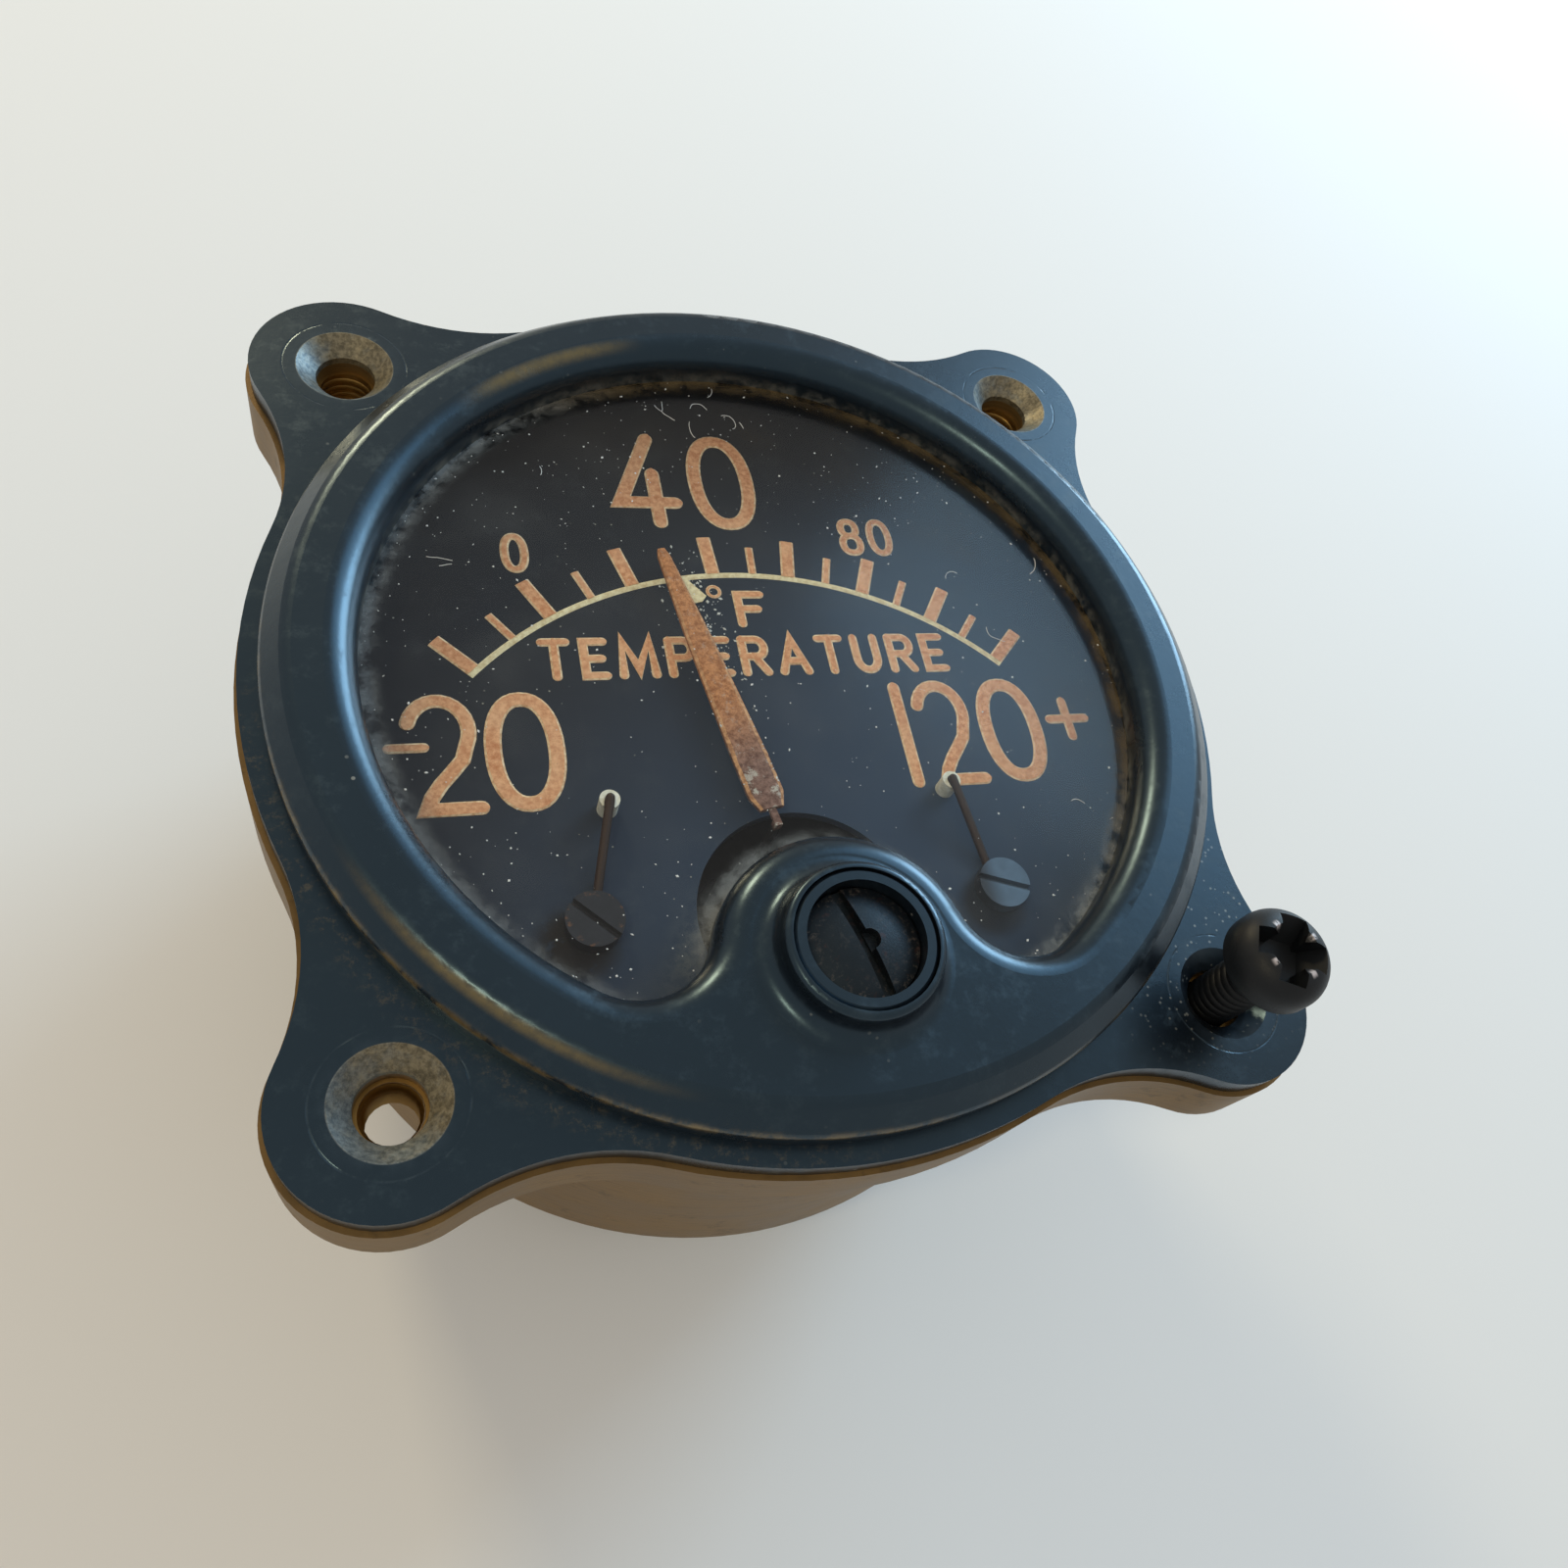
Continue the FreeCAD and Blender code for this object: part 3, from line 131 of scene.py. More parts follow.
class Graph:
    """A material's nodes, with short calls for the few kinds used here. Lengths are in metres."""

    def __init__(self, name):
        self.material = bpy.data.materials.new(name)
        self.material.use_nodes = True
        self.tree = self.material.node_tree
        self.tree.nodes.clear()
        self.output = self.tree.nodes.new("ShaderNodeOutputMaterial")
        self.place = self.tree.nodes.new("ShaderNodeTexCoord").outputs["Object"]
        self.split = None

    def put(self, socket, value):
        if isinstance(value, bpy.types.NodeSocket):
            self.tree.links.new(value, socket)
        else:
            socket.default_value = value

    def math(self, operation, first, second=0.0, clamp=False):
        node = self.tree.nodes.new("ShaderNodeMath")
        node.operation = operation
        node.use_clamp = clamp
        self.put(node.inputs[0], first)
        self.put(node.inputs[1], second)
        return node.outputs[0]

    def chain(self, operation, values):
        result = values[0]
        for value in values[1:]:
            result = self.math(operation, result, value)
        return result

    def times(self, *values):
        return self.chain("MULTIPLY", values)

    def plus(self, *values):
        return self.chain("ADD", values)

    def largest(self, *values):
        return self.chain("MAXIMUM", values)

    def minus(self, first, second):
        return self.math("SUBTRACT", first, second)

    def axis(self, index):
        if self.split is None:
            self.split = self.tree.nodes.new("ShaderNodeSeparateXYZ")
            self.put(self.split.inputs[0], self.place)
        return self.split.outputs[index]

    def away(self, place):
        """Distance from the upright axis through a place."""
        dx = self.minus(self.axis(0), place[0])
        dy = self.minus(self.axis(1), place[1])
        return self.math("SQRT", self.plus(self.times(dx, dx), self.times(dy, dy)))

    def fade(self, value, start, end, low=0.0, high=1.0):
        """Goes smoothly from low at start to high at end."""
        node = self.tree.nodes.new("ShaderNodeMapRange")
        node.interpolation_type = "SMOOTHSTEP"
        self.put(node.inputs["Value"], value)
        node.inputs["From Min"].default_value = start
        node.inputs["From Max"].default_value = end
        node.inputs["To Min"].default_value = low
        node.inputs["To Max"].default_value = high
        return node.outputs[0]

    def near(self, place, inner, outer):
        """One within the inner distance of a place, nothing past the outer one."""
        return self.fade(self.away(place), inner, outer, 1.0, 0.0)

    def band(self, value, middle, half_width):
        """One at middle, nothing half_width away from it."""
        off = self.math("ABSOLUTE", self.minus(value, middle))
        return self.fade(off, 0.0, half_width, 1.0, 0.0)

    def noise(self, size, detail=4.0, roughness=0.55, stretch=None):
        """Cloudy pattern whose features are about size across."""
        node = self.tree.nodes.new("ShaderNodeTexNoise")
        node.inputs["Scale"].default_value = 1 / size
        node.inputs["Detail"].default_value = detail
        node.inputs["Roughness"].default_value = roughness
        place = self.place
        if stretch is not None:
            scaled = self.tree.nodes.new("ShaderNodeVectorMath")
            scaled.operation = "MULTIPLY"
            self.put(scaled.inputs[0], place)
            scaled.inputs[1].default_value = stretch
            place = scaled.outputs[0]
        self.put(node.inputs["Vector"], place)
        return node.outputs["Fac"]

    def patches(self, size, start, end, detail=4.0, roughness=0.55, low=0.0):
        """Blotches about size across: low where the noise is under start, one where it is over end."""
        return self.fade(self.noise(size, detail, roughness), start, end, low)

    def specks(self, spacing, size):
        """Small round dots on a random lattice."""
        node = self.tree.nodes.new("ShaderNodeTexVoronoi")
        node.inputs["Scale"].default_value = 1 / spacing
        self.put(node.inputs["Vector"], self.place)
        return self.fade(node.outputs["Distance"], size * 0.6, size, 1.0, 0.0)

    def mix(self, share, first, second):
        node = self.tree.nodes.new("ShaderNodeMix")
        node.data_type = "RGBA"
        first_colour, second_colour = node.inputs[6], node.inputs[7]
        self.put(node.inputs["Factor"], share)
        self.put(first_colour, first)
        self.put(second_colour, second)
        return node.outputs[2]

    def over(self, base, mask, strength, colour):
        """Covers the base colour with another one, where the mask is one and as strongly as given."""
        return self.mix(self.times(mask, strength), base, colour)

    def bump(self, height, distance, strength=1.0):
        node = self.tree.nodes.new("ShaderNodeBump")
        node.inputs["Strength"].default_value = strength
        node.inputs["Distance"].default_value = distance
        self.put(node.inputs["Height"], height)
        return node.outputs[0]

    def principled(self, colour, roughness, metallic=0.0, normal=None, **more):
        node = self.tree.nodes.new("ShaderNodeBsdfPrincipled")
        self.put(node.inputs["Base Color"], colour)
        self.put(node.inputs["Roughness"], roughness)
        self.put(node.inputs["Metallic"], metallic)
        if normal is not None:
            self.put(node.inputs["Normal"], normal)
        for name, value in more.items():
            self.put(node.inputs[name.replace("_", " ")], value)
        return node.outputs[0]

    def blend(self, share, first, second):
        node = self.tree.nodes.new("ShaderNodeMixShader")
        self.put(node.inputs[0], share)
        self.put(node.inputs[1], first)
        self.put(node.inputs[2], second)
        return node.outputs[0]

    def done(self, shader):
        self.put(self.output.inputs["Surface"], shader)
        return self.material


# Masks of the cover. A mask is one where something shows and nothing where it doesn't.

def near_holes(g, inner, outer):
    """One round the four screw holes, fading between the two radii."""
    return g.largest(*[g.near(place, inner, outer) for place in hole_places])


def on_scribed_rings(g, half_width):
    """A thin ring round each screw hole."""
    return g.largest(*[g.band(g.away(place), scribe_r, half_width) for place in hole_places])


def warm_lit_side_of_holes(g):
    """One on the upper right of each screw hole, where warm light is painted, nothing on its lower left."""
    reach, softness = 2 * sink_r, 3 * MM
    sides = []
    for x, y in hole_places:
        slant = g.minus(g.plus(g.axis(0), g.axis(1)), x + y)
        sides.append(g.times(g.near((x, y), reach, reach + 1 * MM), g.fade(slant, -softness, softness)))
    return g.largest(*sides)


def near_window_edge(g, reach, ragged):
    """One at the foot of the bezel's inner wall, fading over reach with a ragged limit."""
    rim = g.band(g.plus(g.away((0, 0)), ragged), opening_r, reach)
    lobe = g.band(g.plus(g.away(adjuster), ragged), lobe_r, reach)
    above_lobe = g.fade(g.axis(1), adjuster.y, adjuster.y + 3 * MM)
    return g.largest(rim, g.times(lobe, above_lobe))


def worn_step(g, radius):
    """The rubbed edge of the step and the scuffs beside it, both strongest at the lower left."""
    lower_left = g.fade(g.plus(g.axis(0), g.axis(1)), -50 * MM, -26 * MM, 1.0, 0.35)
    on_step = g.times(g.band(radius, bezel_r, 0.55 * MM), g.band(g.axis(2), step_edge_z, 0.6 * MM))
    rubbed = g.times(on_step, g.patches(2.6 * MM, 0.42, 0.62, 6.0, 0.7), lower_left)
    beside_step = g.times(g.band(radius, bezel_r + 0.9 * MM, 1.8 * MM), g.fade(lower_left, 0.6, 1.0))
    scuffed = g.times(beside_step, g.patches(1.0 * MM, 0.50, 0.66, 7.0, 0.78))
    return rubbed, scuffed


def burnished_crown_and_highlight(g, radius):
    """Enamel rubbed to a golden brown in two places on the crown, above the step, and painted lighter there as a
    highlight.
    """
    top = g.times(g.band(radius, inner_crown_r, 0.8 * MM), g.near(golden_top, 3 * MM, 10 * MM))
    foot = g.times(g.band(radius, outer_crown_r, 0.5 * MM), g.near(golden_foot, 3 * MM, 16 * MM))
    above_step = g.fade(g.axis(2), step_edge_z + 0.4 * MM, step_edge_z + 1.0 * MM)
    uneven = g.patches(0.8 * MM, 0.30, 0.62, 7.0, 0.75, low=0.6)
    return g.times(g.largest(top, foot), above_step, uneven)


def scratched_holes(g, on_flange):
    """The ring scribed round each screw hole, and the bruised patch inside it."""
    scratched = g.times(on_flange, g.patches(2.2 * MM, 0.40, 0.60, 4.0, 0.6))
    scribe = g.times(on_scribed_rings(g, 0.11 * MM), scratched)
    patch = g.times(near_holes(g, sink_r, scribe_r), scratched)
    return scribe, patch


def pale_specks(g, on_flange):
    """Dust specks all over, and crumbs on the flange round the mounting screw."""
    dust = g.times(g.specks(1.7 * MM, 0.10), g.patches(7 * MM, 0.5, 0.68))
    crumbs = g.times(g.specks(0.65 * MM, 0.21), g.near(crumbs_by_screw, 4 * MM, 15 * MM), on_flange)
    return g.largest(dust, crumbs)


def settled_dust(g, radius):
    """Dust at the foot of the bezel's inner wall."""
    foot = g.fade(g.axis(2), 0.3 * MM, 1.5 * MM, 1.0, 0.0)
    inside = g.fade(radius, 32.4 * MM, inner_crown_r, 1.0, 0.0)
    return g.times(foot, inside, g.patches(1.3 * MM, 0.38, 0.66, 6.0, 0.7))


def sink_metal_painted_light(g):
    """Raw metal of the countersinks with painted light: tan where warm light is painted on the upper right, grey
    where cool light is painted on the lower left.
    """
    turning = g.patches(0.45 * MM, 0.34, 0.66, 6.0, 0.75)
    tan = g.mix(turning, srgb(98, 86, 62), srgb(152, 138, 108))
    grey = g.mix(turning, srgb(86, 92, 94), srgb(138, 142, 140))
    blotch = g.times(g.minus(g.noise(1.5 * MM, 6.0, 0.65), 0.5), 2.2)
    return g.mix(g.math("ADD", warm_lit_side_of_holes(g), blotch, clamp=True), grey, tan)


# Materials

def black_cover():
    """Satin black enamel tinted navy with a painted blue sheen, rubbed on its step, worn golden with a painted
    highlight on the crown, with raw metal and painted warm and cool light in the countersinks, and dust at the
    glass.
    """
    g = Graph("black_cover")
    clouds = g.noise(9 * MM)
    grain = g.noise(0.35 * MM, 3.0)
    peel = g.noise(1.1 * MM, 2.0)
    radius = g.away((0, 0))
    on_flange = g.fade(g.axis(2), 0.2 * MM, 0.5 * MM, 1.0, 0.0)
    handled = g.patches(2.4 * MM, 0.50, 0.70, 9.0, 0.78)
    rubbed, scuffed = worn_step(g, radius)
    burnish_and_highlight = burnished_crown_and_highlight(g, radius)
    scribe, patch = scratched_holes(g, on_flange)
    dusty = settled_dust(g, radius)
    # navy tint of the enamel is painted in for the blue light
    paint = g.mix(clouds, srgb(8, 11, 15), srgb(15, 20, 27))
    paint = g.over(paint, handled, 0.30, srgb(48, 56, 60))
    paint = g.over(paint, rubbed, 0.9, srgb(138, 116, 74))
    paint = g.over(paint, scuffed, 0.55, srgb(96, 82, 54))
    # golden wear on the crown, with a painted highlight
    paint = g.over(paint, burnish_and_highlight, 0.7, srgb(140, 122, 80))
    paint = g.over(paint, patch, 0.22, srgb(54, 62, 70))
    paint = g.over(paint, scribe, 0.30, srgb(66, 74, 80))
    paint = g.over(paint, pale_specks(g, on_flange), 0.7, srgb(150, 150, 142))
    paint = g.over(paint, dusty, 0.55, srgb(118, 112, 98))
    # the countersink under the mounting screw keeps its paint
    off_screw = g.fade(g.away(screw_place), sink_r + 0.5 * MM, sink_r + 0.8 * MM)
    bare = g.times(near_holes(g, sink_r - 0.02 * MM, sink_r + 0.10 * MM), off_screw)
    # raw metal in the countersinks, with warm and cool light painted on it
    colour = g.mix(bare, paint, sink_metal_painted_light(g))
    rough = g.plus(g.times(clouds, 0.10), 0.23, g.times(bare, 0.18), g.times(handled, 0.14))
    rough = g.minus(g.plus(rough, g.times(dusty, 0.4)), g.times(burnish_and_highlight, 0.08))
    metallic = g.times(g.largest(bare, burnish_and_highlight, rubbed), 0.5)
    height = g.minus(g.plus(g.times(peel, 0.6), g.times(grain, 0.4)), g.times(scribe, 2.0))
    # blue specular tint: painted blue sheen for the cool light
    return g.done(g.principled(colour, rough, metallic, g.bump(height, 0.02 * MM, 0.55),
                               Specular_IOR_Level=0.85, Specular_Tint=(0.50, 0.78, 1.0, 1.0)))


def small_black(name, tint, roughness):
    """Blackened fittings with rubbed spots."""
    g = Graph(name)
    grain = g.noise(0.16 * MM, 3.0)
    colour = g.mix(g.noise(1.8 * MM, 5.0), darker(tint, 0.55), tint)
    worn = g.patches(0.9 * MM, 0.62, 0.72, 6.0, 0.7)
    colour = g.over(colour, worn, 0.35, srgb(96, 82, 62))
    rough = g.plus(g.times(grain, 0.2), roughness)
    return g.done(g.principled(colour, rough, 0.25, g.bump(grain, 0.012 * MM, 0.6)))


def dial_screw_head():
    """Blackened heads, the left one rusty at its edge, the right one painted blue grey for the cool light on it.
    """
    g = Graph("screw_grey")
    clouds = g.noise(1.4 * MM, 5.0)
    left = g.mix(clouds, srgb(24, 25, 30), srgb(46, 47, 54))
    # painted light: the right head is coloured blue grey as if lit by cool light
    right = g.mix(clouds, srgb(62, 78, 94), srgb(98, 122, 146))
    colour = g.mix(g.fade(g.axis(0), 14.6 * MM, 16.6 * MM), left, right)
    outer = g.fade(g.away(left_dial_screw), 1.6 * MM, 2.1 * MM)
    on_left = g.fade(g.axis(0), 0.0, -1 * MM)
    rusty = g.times(outer, on_left, g.patches(0.8 * MM, 0.56, 0.68, 5.0))
    colour = g.mix(rusty, colour, srgb(112, 76, 52))
    return g.done(g.principled(colour, 0.42, 0.25, g.bump(clouds, 0.012 * MM, 0.6)))


def worn_head():
    """Blackened screw whose recess is rubbed bright at the four corners between its wings, with painted shade in
    the recess and on the shank under the head.
    """
    g = Graph("screw_black")
    grain = g.noise(0.14 * MM, 3.0)
    colour = g.mix(g.noise(1.6 * MM, 5.0), srgb(9, 11, 13), srgb(24, 27, 31))
    out = g.away(screw_place)
    high = g.fade(g.axis(2), screw_high - 1.1 * MM, screw_high - 0.5 * MM)
    lip = g.times(g.band(out, 2.15 * MM, 0.42 * MM), high)
    dx = g.minus(g.axis(0), screw_place[0])
    dy = g.minus(g.axis(1), screw_place[1])
    turn = g.minus(g.math("ARCTAN2", dy, dx), recess_turn)
    corners = g.fade(g.math("COSINE", g.times(turn, 4.0)), -0.85, -0.98)
    chipped = g.patches(0.6 * MM, 0.36, 0.50, 6.0, 0.75)
    bright = g.times(lip, corners, chipped)
    inside = g.fade(out, 1.85 * MM, 2.0 * MM, 1.0, 0.0)
    # painted shade: the recess inside the head is near black
    colour = g.mix(g.times(inside, high), colour, srgb(6, 6, 8))
    colour = g.mix(bright, colour, srgb(206, 196, 196))
    # painted shade on the shank below the head
    low = g.fade(g.axis(2), screw_high - 3.8 * MM, screw_high - 3.2 * MM, 1.0, 0.0)
    colour = g.over(colour, low, 0.6, srgb(8, 9, 10))
    rough = g.plus(g.times(grain, 0.2), 0.38)
    return g.done(g.principled(colour, rough, g.times(bright, 0.4), g.bump(grain, 0.012 * MM, 0.6),
                               Specular_IOR_Level=0.3))


def adjuster_black():
    """Blackened adjuster with scuffed rims, brownish where the finish has gone."""
    g = Graph("adjuster_black")
    grain = g.noise(0.15 * MM, 3.0)
    colour = g.mix(g.noise(1.5 * MM, 5.0), srgb(10, 12, 15), srgb(26, 28, 32))
    rim = g.fade(g.away(adjuster), 2.8 * MM, 4.1 * MM, 0.2, 1.0)
    scuffs = g.patches(0.5 * MM, 0.52, 0.64, 7.0, 0.75)
    colour = g.over(colour, g.times(scuffs, rim), 0.55, srgb(106, 96, 88))
    rust = g.patches(1.1 * MM, 0.56, 0.68, 5.0, 0.7)
    colour = g.over(colour, rust, 0.5, srgb(62, 34, 26))
    rough = g.plus(g.times(grain, 0.2), 0.30)
    # blue specular tint: painted blue sheen for the cool light
    return g.done(g.principled(colour, rough, 0.2, g.bump(grain, 0.015 * MM, 0.7),
                               Specular_Tint=(0.62, 0.84, 1.0, 1.0)))


def tan_case():
    """Tarnished tan casting with turning marks, stains and rubbed rims."""
    g = Graph("tan_case")
    blotches = g.noise(6 * MM, 6.0, 0.62)
    streaks = g.noise(1.0 * MM, 5.0, 0.6, stretch=(0.25, 0.25, 4.0))
    grain = g.noise(0.28 * MM, 3.0)
    colour = g.mix(blotches, srgb(92, 70, 38), srgb(146, 114, 64))
    colour = g.over(colour, g.fade(streaks, 0.45, 0.7), 0.3, srgb(58, 44, 24))
    soot = g.patches(3.0 * MM, 0.56, 0.70, 6.0, 0.7)
    colour = g.over(colour, soot, 0.5, srgb(44, 36, 26))
    bright = g.patches(1.6 * MM, 0.64, 0.74, 6.0, 0.75)
    colour = g.over(colour, bright, 0.5, srgb(168, 146, 100))
    rough = g.plus(g.times(blotches, 0.25), 0.38)
    height = g.plus(g.times(streaks, 0.6), g.times(grain, 0.6))
    return g.done(g.principled(colour, rough, 0.45, g.bump(height, 0.03 * MM, 0.6)))


def metal(name, dark, light, roughness, metallic=0.9):
    """Plain machined metal with fine grain and slight staining."""
    g = Graph(name)
    grain = g.noise(0.3 * MM)
    colour = g.mix(g.noise(2.7 * MM, 5.0), dark, light)
    spots = g.patches(1.2 * MM, 0.62, 0.74, 6.0, 0.7)
    colour = g.over(colour, spots, 0.4, darker(dark, 0.4))
    rough = g.plus(g.times(grain, 0.2), roughness)
    return g.done(g.principled(colour, rough, metallic, g.bump(grain, 0.01 * MM, 0.5)))


def wound(name, dark, light, pitch, metallic):
    """Close turns of fine wire."""
    band_repeat = 0.314
    g = Graph(name)
    wave = g.tree.nodes.new("ShaderNodeTexWave")
    wave.bands_direction = "Z"
    wave.inputs["Scale"].default_value = band_repeat / pitch
    wave.inputs["Distortion"].default_value = 0.6
    g.put(wave.inputs["Vector"], g.place)
    turns = wave.outputs["Fac"]
    colour = g.mix(turns, dark, light)
    return g.done(g.principled(colour, 0.35, metallic, g.bump(turns, 0.05 * MM, 0.8)))


def moulded(name, dark, light, roughness):
    """Moulded phenolic or rubber with a faint mottle."""
    g = Graph(name)
    grain = g.noise(0.2 * MM, 3.0)
    colour = g.mix(g.noise(1.4 * MM, 5.0), dark, light)
    rough = g.plus(g.times(grain, 0.15), roughness)
    return g.done(g.principled(colour, rough, 0.0, g.bump(grain, 0.012 * MM, 0.5)))


def dial_black():
    """Matt black dial enamel with a bloom of dust and pin-prick specks, tinted blue and with painted reflections
    of blue and warm light, a dark brown patch by the left screw and painted shadow by the right one.
    """
    g = Graph("dial_black")
    clouds = g.noise(7 * MM, 6.0, 0.6)
    # blue tint of the enamel is painted in for the cool light
    colour = g.mix(clouds, srgb(10, 14, 22), srgb(19, 27, 40))
    # painted reflection: a blue veil towards the lower right
    painted_blue_veil = g.fade(g.minus(g.axis(0), g.axis(1)), -30 * MM, 26 * MM)
    colour = g.over(colour, painted_blue_veil, 0.5, srgb(58, 82, 112))
    # painted reflection: warm brown towards the top
    upper = g.fade(g.axis(1), 8 * MM, 30 * MM)
    colour = g.over(colour, upper, 0.5, srgb(30, 25, 18))
    bloom = g.patches(4 * MM, 0.5, 0.8, 7.0, 0.72)
    colour = g.over(colour, bloom, 0.16, srgb(88, 92, 94))
    # dust swept up on the left of the lobe
    by_lobe = g.near(adjuster, lobe_r + 0.3 * MM, lobe_r + 3.4 * MM)
    on_left = g.fade(g.axis(0), -4 * MM, -8 * MM)
    swept = g.times(by_lobe, on_left, g.patches(1.2 * MM, 0.38, 0.62, 7.0, 0.7))
    colour = g.over(colour, swept, 0.6, srgb(96, 102, 106))
    dots = g.times(g.specks(1.3 * MM, 0.07), g.patches(6 * MM, 0.46, 0.62))
    colour = g.over(colour, dots, 0.75, srgb(172, 168, 154))
    # a dark brown patch below and left of the left dial screw
    blotches = g.times(g.near(left_dark_patch, 1.9 * MM, 3.9 * MM), g.patches(1.2 * MM, 0.30, 0.48, 6.0))
    colour = g.over(colour, blotches, 0.9, srgb(24, 17, 12))
    # painted shadow below and left of the right dial screw
    shade = g.near(right_shade, 2.0 * MM, 3.4 * MM)
    colour = g.over(colour, shade, 0.7, srgb(20, 20, 22))
    rough = g.plus(g.times(clouds, 0.15), 0.60)
    return g.done(g.principled(colour, rough, 0.0, Specular_IOR_Level=0.3))


def aged_orange():
    """Old luminous paint: orange brown, mottled, pitted and flecked."""
    g = Graph("aged_orange")
    mottle = g.noise(0.45 * MM, 6.0, 0.7)
    colour = g.mix(g.fade(mottle, 0.3, 0.7), srgb(200, 130, 88), srgb(242, 184, 140))
    colour = g.over(colour, g.patches(5 * MM, 0.4, 0.7, 3.0), 0.35, srgb(240, 196, 158))
    pits = g.patches(0.22 * MM, 0.62, 0.72, 4.0, 0.75)
    colour = g.over(colour, pits, 0.5, srgb(128, 76, 48))
    return g.done(g.principled(colour, 0.85, 0.0, g.bump(mottle, 0.03 * MM, 0.6), Specular_IOR_Level=0.2))


def pointer_rust():
    """The pointer's coat: orange brown towards the tip, purple brown and crusted towards the hub, with painted
    shade where it dips towards the dial.
    """
    g = Graph("pointer_rust")
    mottle = g.noise(0.5 * MM, 7.0, 0.72)
    light_spots = g.fade(mottle, 0.32, 0.68)
    out = g.away(pivot)
    tip = g.mix(light_spots, srgb(150, 94, 58), srgb(214, 150, 102))
    root = g.mix(light_spots, srgb(96, 68, 60), srgb(154, 120, 108))
    colour = g.mix(g.fade(out, 12 * MM, 20 * MM), root, tip)
    crust = g.patches(1.3 * MM, 0.54, 0.60, 9.0, 0.8)
    near_root = g.fade(out, 9 * MM, 17 * MM, 0.9, 0.25)
    colour = g.mix(g.times(crust, near_root), colour, srgb(206, 200, 190))
    pits = g.patches(0.26 * MM, 0.60, 0.70, 5.0, 0.75)
    colour = g.over(colour, pits, 0.6, srgb(84, 48, 36))
    # painted shade where the pointer dips down towards the dial hole
    sunk = g.fade(g.axis(2), dial_top + 0.5 * MM, dial_top + 1.1 * MM, 1.0, 0.0)
    colour = g.mix(sunk, colour, srgb(16, 13, 12))
    return g.done(g.principled(colour, 0.85, 0.0, g.bump(mottle, 0.06 * MM, 0.9), Specular_IOR_Level=0.25))


def old_cream(name, dark, light):
    """Yellowed paint or sleeving with a fine mottle."""
    g = Graph(name)
    mottle = g.noise(0.5 * MM, 5.0, 0.65)
    colour = g.mix(g.fade(mottle, 0.3, 0.7), dark, light)
    return g.done(g.principled(colour, 0.75, 0.0, g.bump(mottle, 0.03 * MM, 0.6)))


def clear_glass():
    """Flat glass: see-through, with a faint reflection, and dust that gathers along its edge."""
    g = Graph("clear_glass")
    clear = g.tree.nodes.new("ShaderNodeBsdfTransparent")
    clear.inputs["Color"].default_value = (0.965, 0.975, 0.97, 1.0)
    sheen = g.tree.nodes.new("ShaderNodeBsdfGlossy")
    sheen.inputs["Roughness"].default_value = 0.16
    fresnel = g.tree.nodes.new("ShaderNodeFresnel")
    fresnel.inputs["IOR"].default_value = 1.48
    back = g.tree.nodes.new("ShaderNodeNewGeometry").outputs["Backfacing"]
    mirrored = g.times(fresnel.outputs[0], g.minus(1.0, back))
    window = g.blend(mirrored, clear.outputs[0], sheen.outputs[0])
    ragged = g.times(g.minus(g.noise(0.8 * MM, 8.0, 0.8), 0.5), 1.6 * MM)
    edge = g.math("POWER", near_window_edge(g, 2.0 * MM, ragged), 1.4)
    edge = g.times(edge, g.patches(2.6 * MM, 0.34, 0.60, 6.0, 0.7))
    film = g.times(g.patches(9 * MM, 0.45, 0.80, 2.0, 0.6), 0.05)
    upper = g.fade(g.axis(2), glass_top - 0.2 * MM, glass_top - 0.1 * MM)
    share = g.times(g.plus(g.times(edge, 0.62), film), upper)
    brown = g.fade(g.plus(g.axis(0), g.axis(1)), 2 * MM, 24 * MM)
    dust = g.principled(g.mix(brown, srgb(146, 150, 150), srgb(112, 94, 62)), 0.9)
    return g.done(g.blend(share, window, dust))


def lint_white():
    g = Graph("lint_white")
    colour = g.mix(g.noise(0.3 * MM), srgb(186, 188, 186), srgb(236, 238, 236))
    return g.done(g.principled(colour, 0.9))


